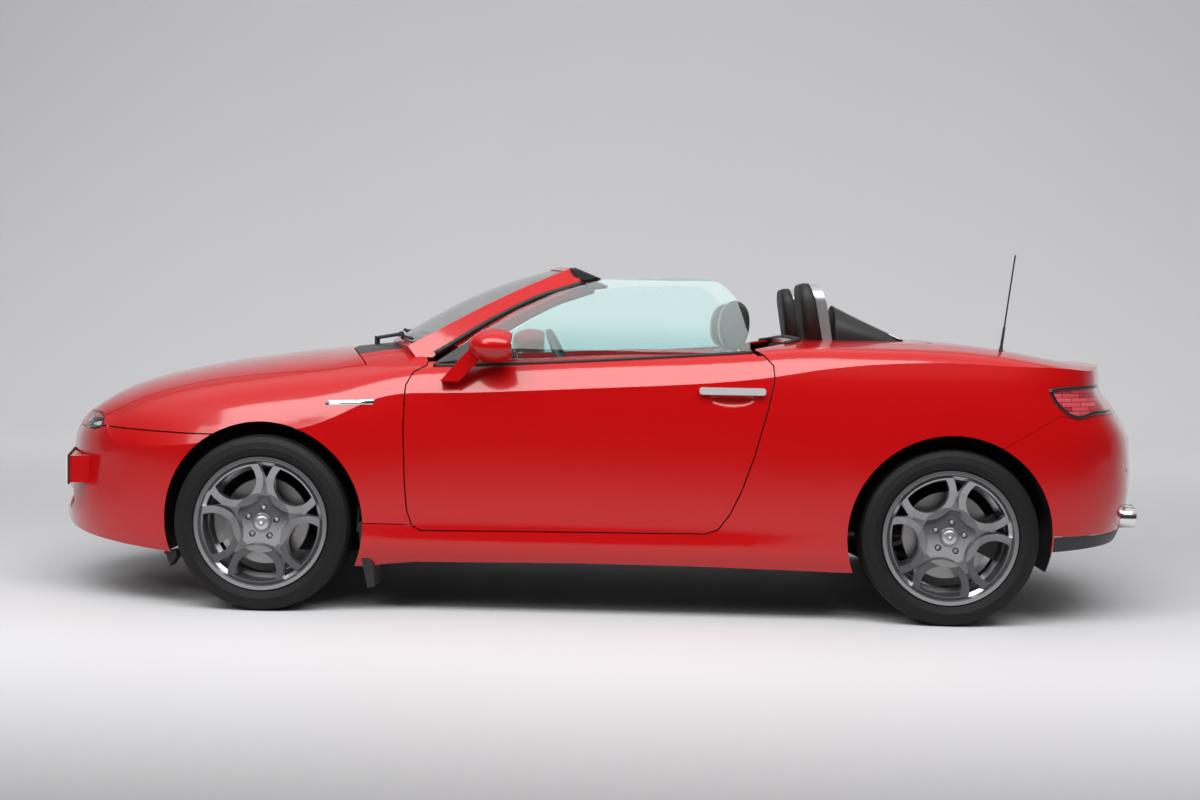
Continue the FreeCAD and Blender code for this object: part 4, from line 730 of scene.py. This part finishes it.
CUSHION = [(-0.150, 0.290, 0, 0), (-0.163, 0.360, -0.3, 0.2), (-0.150, 0.415, -0.3, 0.7),
           (-0.105, 0.430, 0, 1), (0.020, 0.420, 0, 1), (0.180, 0.398, 0, 1),
           (0.330, 0.378, 0, 0.5), (0.385, 0.360, 0, 0), (0.385, 0.300, 0, 0),
           (0.200, 0.275, 0, 0), (-0.050, 0.275, 0, 0)]
BACK = [(0.375, 0.400, -0.2, 0.1), (0.365, 0.520, -1, 0), (0.392, 0.680, -1, 0),
        (0.435, 0.840, -0.8, 0), (0.478, 0.945, -0.3, 0.1), (0.515, 0.988, 0, 0.1),
        (0.565, 0.985, 0, 0), (0.590, 0.930, 0, 0), (0.565, 0.760, 0, 0), (0.520, 0.600, 0, 0),
        (0.470, 0.420, 0, 0), (0.430, 0.385, 0, 0)]
HEADREST = [(0.500, 0.985, 0, 0), (0.480, 1.060, -1, 0), (0.488, 1.145, -0.5, 0),
            (0.522, 1.182, 0, 0), (0.562, 1.182, 0, 0), (0.598, 1.145, 0, 0),
            (0.600, 1.070, 0, 0), (0.580, 0.985, 0, 0)]
CUSHION_SEAM = [(-0.150, 0.419), (-0.105, 0.438), (0.020, 0.429), (0.180, 0.407),
                (0.330, 0.387)]
BACK_SEAM = [(0.358, 0.440), (0.355, 0.520), (0.382, 0.680), (0.425, 0.840), (0.470, 0.945)]
SEAT_Y, SEAM_Y, POST_Y, RAIL_Y = 0.372, 0.148, 0.045, 0.165
for side in (LEFT, RIGHT):
    name = both(side)
    y = side * SEAT_Y
    cushion = seat_form("seat_cushion_" + name, CUSHION, 0.246, y, 0.032)
    back = seat_form("seat_back_" + name, BACK, 0.243, y, 0.040)
    head = seat_form("headrest_" + name, HEADREST, 0.124, y, 0.004)
    for form in (cushion, back, head):
        puffed(form)
        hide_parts("seats")
    for edge in (-1, 1):
        end = "_%s_%s" % (name, "outer" if edge == side else "inner")
        for label, seam in (("cushion_seam", CUSHION_SEAM), ("back_seam", BACK_SEAM)):
            run = arc_points([(x, y + edge * SEAM_Y, z) for x, z in seam], 5)
            tube(label + end, run, 0.0028, RUBBER, "car_body", sides=6)
        post_y = y + edge * POST_Y
        tube("headrest_post" + end, [(0.548, post_y, 0.960), (0.545, post_y, 1.045)], 0.006,
             CHROME, "car_body", sides=12)
        rounded_block("seat_rail" + end, (0.480, 0.034, 0.044), (0.140, y + edge * RAIL_Y, 0.239),
                      BLACK_METAL, "car_body", 0.004)
    rounded_block("seat_base_" + name, (0.470, 0.400, 0.030), (0.130, y, 0.268), BLACK_PLASTIC,
                  "car_body", 0.008)

# Controls: gear lever, hand brake, wheel pad, instruments, pedals, mirror and sun visors

tube("gear_lever", [(-0.215, 0.0, 0.560), (-0.222, 0.0, 0.620), (-0.226, 0.0, 0.655)],
     0.007, CHROME, "car_body", sides=12)
turned("gear_knob", [(0.0, 0.060), (0.014, 0.057), (0.022, 0.044), (0.024, 0.026), (0.016, 0.006),
                     (0.010, 0.0)], (-0.226, 0.0, 0.640), (-0.05, 0, 1), LEATHER, "car_body")
turned("gear_gaiter", [(0.045, 0.0), (0.042, 0.012), (0.030, 0.030), (0.024, 0.036),
                       (0.014, 0.062), (0.009, 0.066)], (-0.217, 0.0, 0.560), (-0.05, 0, 1),
       LEATHER, "car_body", sides=12)
tube("hand_brake", arc_points([(0.010, 0.030, 0.566), (-0.040, 0.030, 0.590),
                               (-0.130, 0.030, 0.622)], 5), 0.013, LEATHER, "car_body",
     sides=12)
COLUMN_TILT = math.radians(25)
wheel_axis = Vector((math.cos(COLUMN_TILT), 0, math.sin(COLUMN_TILT)))
wheel_place = Vector((-0.161, 0.380, 0.888))
turned("wheel_pad", [(0.0, 0.034), (0.030, 0.033), (0.052, 0.027), (0.066, 0.014), (0.068, 0.0),
                     (0.060, -0.010)], wheel_place - wheel_axis * 0.012, wheel_axis, LEATHER,
       "steering_wheel")
DIAL_AXIS, VENT_AXIS = (1, 0, 0.15), (1, 0, 0.1)
DIAL_RING = [(0.0, -0.004), (0.045, -0.004), (0.047, 0.006), (0.052, 0.010), (0.054, 0.0)]
DIAL_FACE = [(0.0, 0.002), (0.044, 0.002), (0.044, -0.002)]
SMALL_DIAL = [(0.0, 0.002), (0.030, 0.002), (0.034, 0.006), (0.037, 0.0)]
VENT_RING = [(0.0, 0.002), (0.034, 0.002), (0.040, 0.008), (0.044, 0.0)]
for label, profile, places, x, z, axis, finish, slot in (
        ("dial_", DIAL_RING, (0.318, 0.442), -0.392, 0.928, DIAL_AXIS, CHROME, "chrome"),
        ("dial_face_", DIAL_FACE, (0.318, 0.442), -0.390, 0.928, DIAL_AXIS, GLOSS_BLACK,
         "black_plastic"),
        ("centre_dial_", SMALL_DIAL, (-0.09, 0.0, 0.09), -0.430, 0.855, VENT_AXIS, CHROME,
         "chrome"),
        ("air_vent_", VENT_RING, (-0.60, 0.60), -0.428, 0.868, VENT_AXIS, CHROME, "chrome")):
    for number, y in enumerate(places):
        turned(label + str(number + 1), profile, (x, y, z), axis, finish, "car_body")
for number, (y, z) in enumerate(((0.260, 0.330), (0.350, 0.345), (0.440, 0.345))):
    rounded_block("pedal_%d" % (number + 1), (0.016, 0.055, 0.090), (-0.700, y, z), STEEL,
                  "car_body", 0.005, Matrix.Rotation(math.radians(-25), 3, "Y"))
    tube("pedal_arm_%d" % (number + 1), [(-0.712, y, z + 0.03), (-0.760, y, z + 0.16),
                                         (-0.885, y, z + 0.24)], 0.008, BLACK_METAL, "car_body",
         sides=8)
rounded_block("interior_mirror", (0.022, 0.220, 0.060), (-0.245, 0.0, 1.215), GLOSS_BLACK,
              "car_body", 0.009)
tube("interior_mirror_stalk", [(-0.255, 0.0, 1.225), (-0.262, 0.0, 1.250), (-0.285, 0.0, 1.262)],
     0.007, BLACK_PLASTIC, "car_body", sides=10)
for side in (LEFT, RIGHT):
    rounded_block("sun_visor_" + both(side), (0.130, 0.330, 0.014), (-0.205, side * 0.330, 1.247),
                  DASH, "car_body", 0.006, Matrix.Rotation(math.radians(-22), 3, "Y"))

# Dark pads on the front of the roll hoops, and the bright ridge along each fairing

PAD_FRONT = ((1.236, 0.779), (1.188, 0.785), (1.025, 0.811))
PAD_BACK = ((1.244, 0.820), (1.189, 0.840), (1.026, 0.871))
PAD_RINGS = ((0.0, 0.0), (0.55, 0.0), (0.80, 0.004), (0.93, 0.012), (1.0, 0.028), (1.01, 0.060),
             (1.01, 0.150))
PAD_HALF, PAD_TOP, PAD_FOOT, PAD_CORNER = 0.1610, 1.2515, 1.030, 0.071
CORNER_STEPS = 12
HOOP_Y = 0.420
RIDGE_FRONT, RIDGE_REAR, RIDGE_STEPS = 0.921, 1.200, 18
RIDGE_SECTION = ((-1.0, 0.009), (-0.7, 0.001), (0.0, -0.003), (0.7, 0.001), (1.0, 0.009),
                 (0.0, 0.010))


def along(line, z):
    """Distance along the car of a line given from the top down as (height, x) points."""
    (z0, x0), (z1, x1), (z2, x2) = line
    if z > z1:
        return x1 + (x0 - x1) * (z - z1) / (z0 - z1)
    return x2 + (x1 - x2) * (z - z2) / (z1 - z2)


def arch_ring(inset):
    """Points (y, z) round an arch from its right top corner over to its feet."""
    radius = max(0.006, PAD_CORNER - inset * 0.6)
    half, top = PAD_HALF - inset, PAD_TOP - inset
    ring = []
    for centre_y, start in ((half - radius, 0), (radius - half, 90)):
        for i in range(CORNER_STEPS + 1):
            turn = math.radians(start + 90 * i / CORNER_STEPS)
            ring.append((centre_y + radius * math.cos(turn),
                         top - radius + radius * math.sin(turn)))
    return ring + [(-half, PAD_FOOT), (half, PAD_FOOT)]


fairings = skin_of("hoop_fairings")
for side in (LEFT, RIGHT):
    middle_y = side * HOOP_Y
    points = []
    for depth, inset in PAD_RINGS:
        for y, z in arch_ring(inset):
            x = along(PAD_BACK, z) * (1 - depth) + along(PAD_FRONT, z) * depth
            points.append(Vector((x, middle_y + y, z)))
    count = len(points) // len(PAD_RINGS)
    pad = piece("hoop_pad_" + both(side), points, ring_faces(len(PAD_RINGS), count), DASH,
                "car_body")

    ridge = found(top_point(fairings, RIDGE_FRONT + (RIDGE_REAR - RIDGE_FRONT) * i / RIDGE_STEPS,
                            middle_y, (0, 0, 0.0015)) for i in range(RIDGE_STEPS + 1))
    points = []
    for i, spot in enumerate(ridge):
        width = 0.034 + 0.004 * i
        points += [spot + Vector((0, share * width, -drop)) for share, drop in RIDGE_SECTION]
    piece("fairing_ridge_" + both(side), points, ring_faces(len(ridge), len(RIDGE_SECTION)),
          SILVER, "car_body")

# Black gasket round the back of the cockpit, from each door to the deck

COCKPIT_EDGE = ((0.616, 0.739), (0.644, 0.726), (0.684, 0.711), (0.719, 0.694), (0.749, 0.672),
                (0.770, 0.644), (0.776, 0.604), (0.778, 0.504), (0.779, 0.304), (0.779, 0.004))
rear_deck = skin_of("rear_wings", "tonneau_cover")
for side in (LEFT, RIGHT):
    path = found(top_point(rear_deck, x, side * y, (0, 0, 0.003)) for x, y in COCKPIT_EDGE)
    tube("cockpit_gasket_" + both(side), arc_points(path, 4), 0.009, RUBBER, "car_body",
         sides=8)

# Dark rims round the tail lamps

LAMP_EDGE = [(1.668, 0.868), (1.730, 0.8745), (1.873, 0.878), (1.990, 0.878)]
LAMP_LOW = [(1.668, 0.868), (1.696, 0.820), (1.740, 0.783), (1.786, 0.771), (1.858, 0.785),
            (1.990, 0.786)]
lamp_skin = skin_of("tail_lamps")
for side in (LEFT, RIGHT):
    for label, edge in (("upper", LAMP_EDGE), ("lower", LAMP_LOW)):
        run = arc_points([(x, 0, z) for x, z in edge], 6)
        path = found(side_point(lamp_skin, spot.x, spot.z, side, 0.0005) for spot in run)
        tube("tail_lamp_rim_%s_%s" % (label, both(side)), path, 0.0065, GLOSS_BLACK, "car_body",
             sides=8)

# Stage, lamps and camera


FLOOR_FADE = (-5.0, -1.2)
FLOOR_LEAST = 0.03
FLOOR_FRONT, FLOOR_BACK, FLOOR_HALF = -30.0, 8.0, 40.0
SWEEP_RADIUS, SWEEP_STEPS, BACKDROP_TOP = 6.0, 16, 16.0


def floor_material():
    """Pale floor that grows dark on the camera's side, where the lit part of the studio ends."""
    made = material("stage_grey", (0.62, 0.62, 0.63), 0.6, spread=0.01, grain=0.3,
                    Specular_IOR_Level=0.2)
    nodes, links = made.node_tree.nodes, made.node_tree.links
    _, axes = object_place(made)
    base = nodes["Principled BSDF"].inputs["Base Color"]
    fade = nodes.new("ShaderNodeVectorMath")
    fade.operation = "SCALE"
    links.new(base.links[0].from_socket, fade.inputs[0])
    links.new(smooth_share(made, axes["Y"], *FLOOR_FADE, FLOOR_LEAST), fade.inputs["Scale"])
    links.new(fade.outputs[0], base)
    return made


def sweep_stage():
    """Floor that curves up into a backdrop far behind the car."""
    profile = [(FLOOR_FRONT, 0.0), (FLOOR_BACK, 0.0)]
    for i in range(1, SWEEP_STEPS + 1):
        turn = math.radians(90 * i / SWEEP_STEPS)
        profile.append((FLOOR_BACK + SWEEP_RADIUS * math.sin(turn),
                        SWEEP_RADIUS - SWEEP_RADIUS * math.cos(turn)))
    profile.append((FLOOR_BACK + SWEEP_RADIUS, BACKDROP_TOP))
    points = [Vector((x, y, z - 0.0005)) for y, z in profile for x in (-FLOOR_HALF, FLOOR_HALF)]
    faces = [[2 * i, 2 * i + 1, 2 * i + 3, 2 * i + 2] for i in range(len(profile) - 1)]
    mesh = bpy.data.meshes.new("stage_floor")
    mesh.from_pydata([tuple(p) for p in points], [], faces)
    floor = bpy.data.objects.new("stage_floor", mesh)
    bpy.context.collection.objects.link(floor)
    for polygon in mesh.polygons:
        polygon.use_smooth = True
    mesh.materials.append(floor_material())


sweep_stage()


def area_lamp(name, place, target, size_x, size_y, power):
    """Rectangular lamp at a place, facing a target."""
    data = bpy.data.lights.new(name, "AREA")
    data.shape = "RECTANGLE"
    data.size = size_x
    data.size_y = size_y
    data.energy = power
    lamp = bpy.data.objects.new(name, data)
    bpy.context.collection.objects.link(lamp)
    lamp.location = place
    lamp.rotation_mode = "QUATERNION"
    lamp.rotation_quaternion = (Vector(target) - Vector(place)).to_track_quat("-Z", "Y")


area_lamp("softbox_over", (0.0, -3.2, 4.3), (0.0, 0.0, 0.6), 8.0, 2.1, 330)
area_lamp("softbox_front", (-4.5, -5.5, 4.2), (0.0, 0.0, 0.5), 3.0, 1.6, 60)
area_lamp("backdrop_light", (0.0, 4.5, 7.0), (0.0, 13.0, 3.5), 24.0, 2.0, 740)

world = bpy.data.worlds.new("studio")
world.use_nodes = True
bpy.context.scene.world = world
sky_nodes, sky_links = world.node_tree.nodes, world.node_tree.links
backdrop = sky_nodes["Background"]
sky_place = sky_nodes.new("ShaderNodeTexCoord")
sky_axes = sky_nodes.new("ShaderNodeSeparateXYZ")
sky_links.new(sky_place.outputs["Generated"], sky_axes.inputs[0])
sky_ramp = sky_nodes.new("ShaderNodeValToRGB")
SKY = ((0.0, 0.05), (0.36, 0.07), (0.58, 0.40), (0.78, 1.0), (1.0, 1.0))  # height, brightness
while len(sky_ramp.color_ramp.elements) < len(SKY):
    sky_ramp.color_ramp.elements.new(0.5)
for element, (height, shade) in zip(sky_ramp.color_ramp.elements, SKY):
    element.position = height
    element.color = (shade, shade, shade * 1.02, 1)
sky_links.new(sky_axes.outputs["Z"], sky_ramp.inputs["Fac"])
sky_links.new(sky_ramp.outputs["Color"], backdrop.inputs["Color"])
backdrop.inputs["Strength"].default_value = 0.8

CAMERA_PLACE = Vector((0.2035, -6.6281, 1.0689))
YAW, PITCH, ROLL = (math.radians(angle) for angle in (1.685, 2.646, 1.049))
LENS = 47.37
ahead = Vector((-math.sin(YAW) * math.cos(PITCH), math.cos(YAW) * math.cos(PITCH),
                -math.sin(PITCH)))
across = Vector((math.cos(YAW), math.sin(YAW), 0))
upward = across.cross(ahead)
image_x = across * math.cos(ROLL) + upward * math.sin(ROLL)
image_y = upward * math.cos(ROLL) - across * math.sin(ROLL)
camera_data = bpy.data.cameras.new("camera")
camera_data.lens = LENS
camera_data.sensor_width = 36
camera = bpy.data.objects.new("camera", camera_data)
bpy.context.collection.objects.link(camera)
turn = Matrix((image_x, image_y, -ahead)).transposed().to_4x4()
camera.matrix_world = Matrix.Translation(CAMERA_PLACE) @ turn
bpy.context.scene.camera = camera

bpy.context.scene.view_settings.view_transform = "Standard"
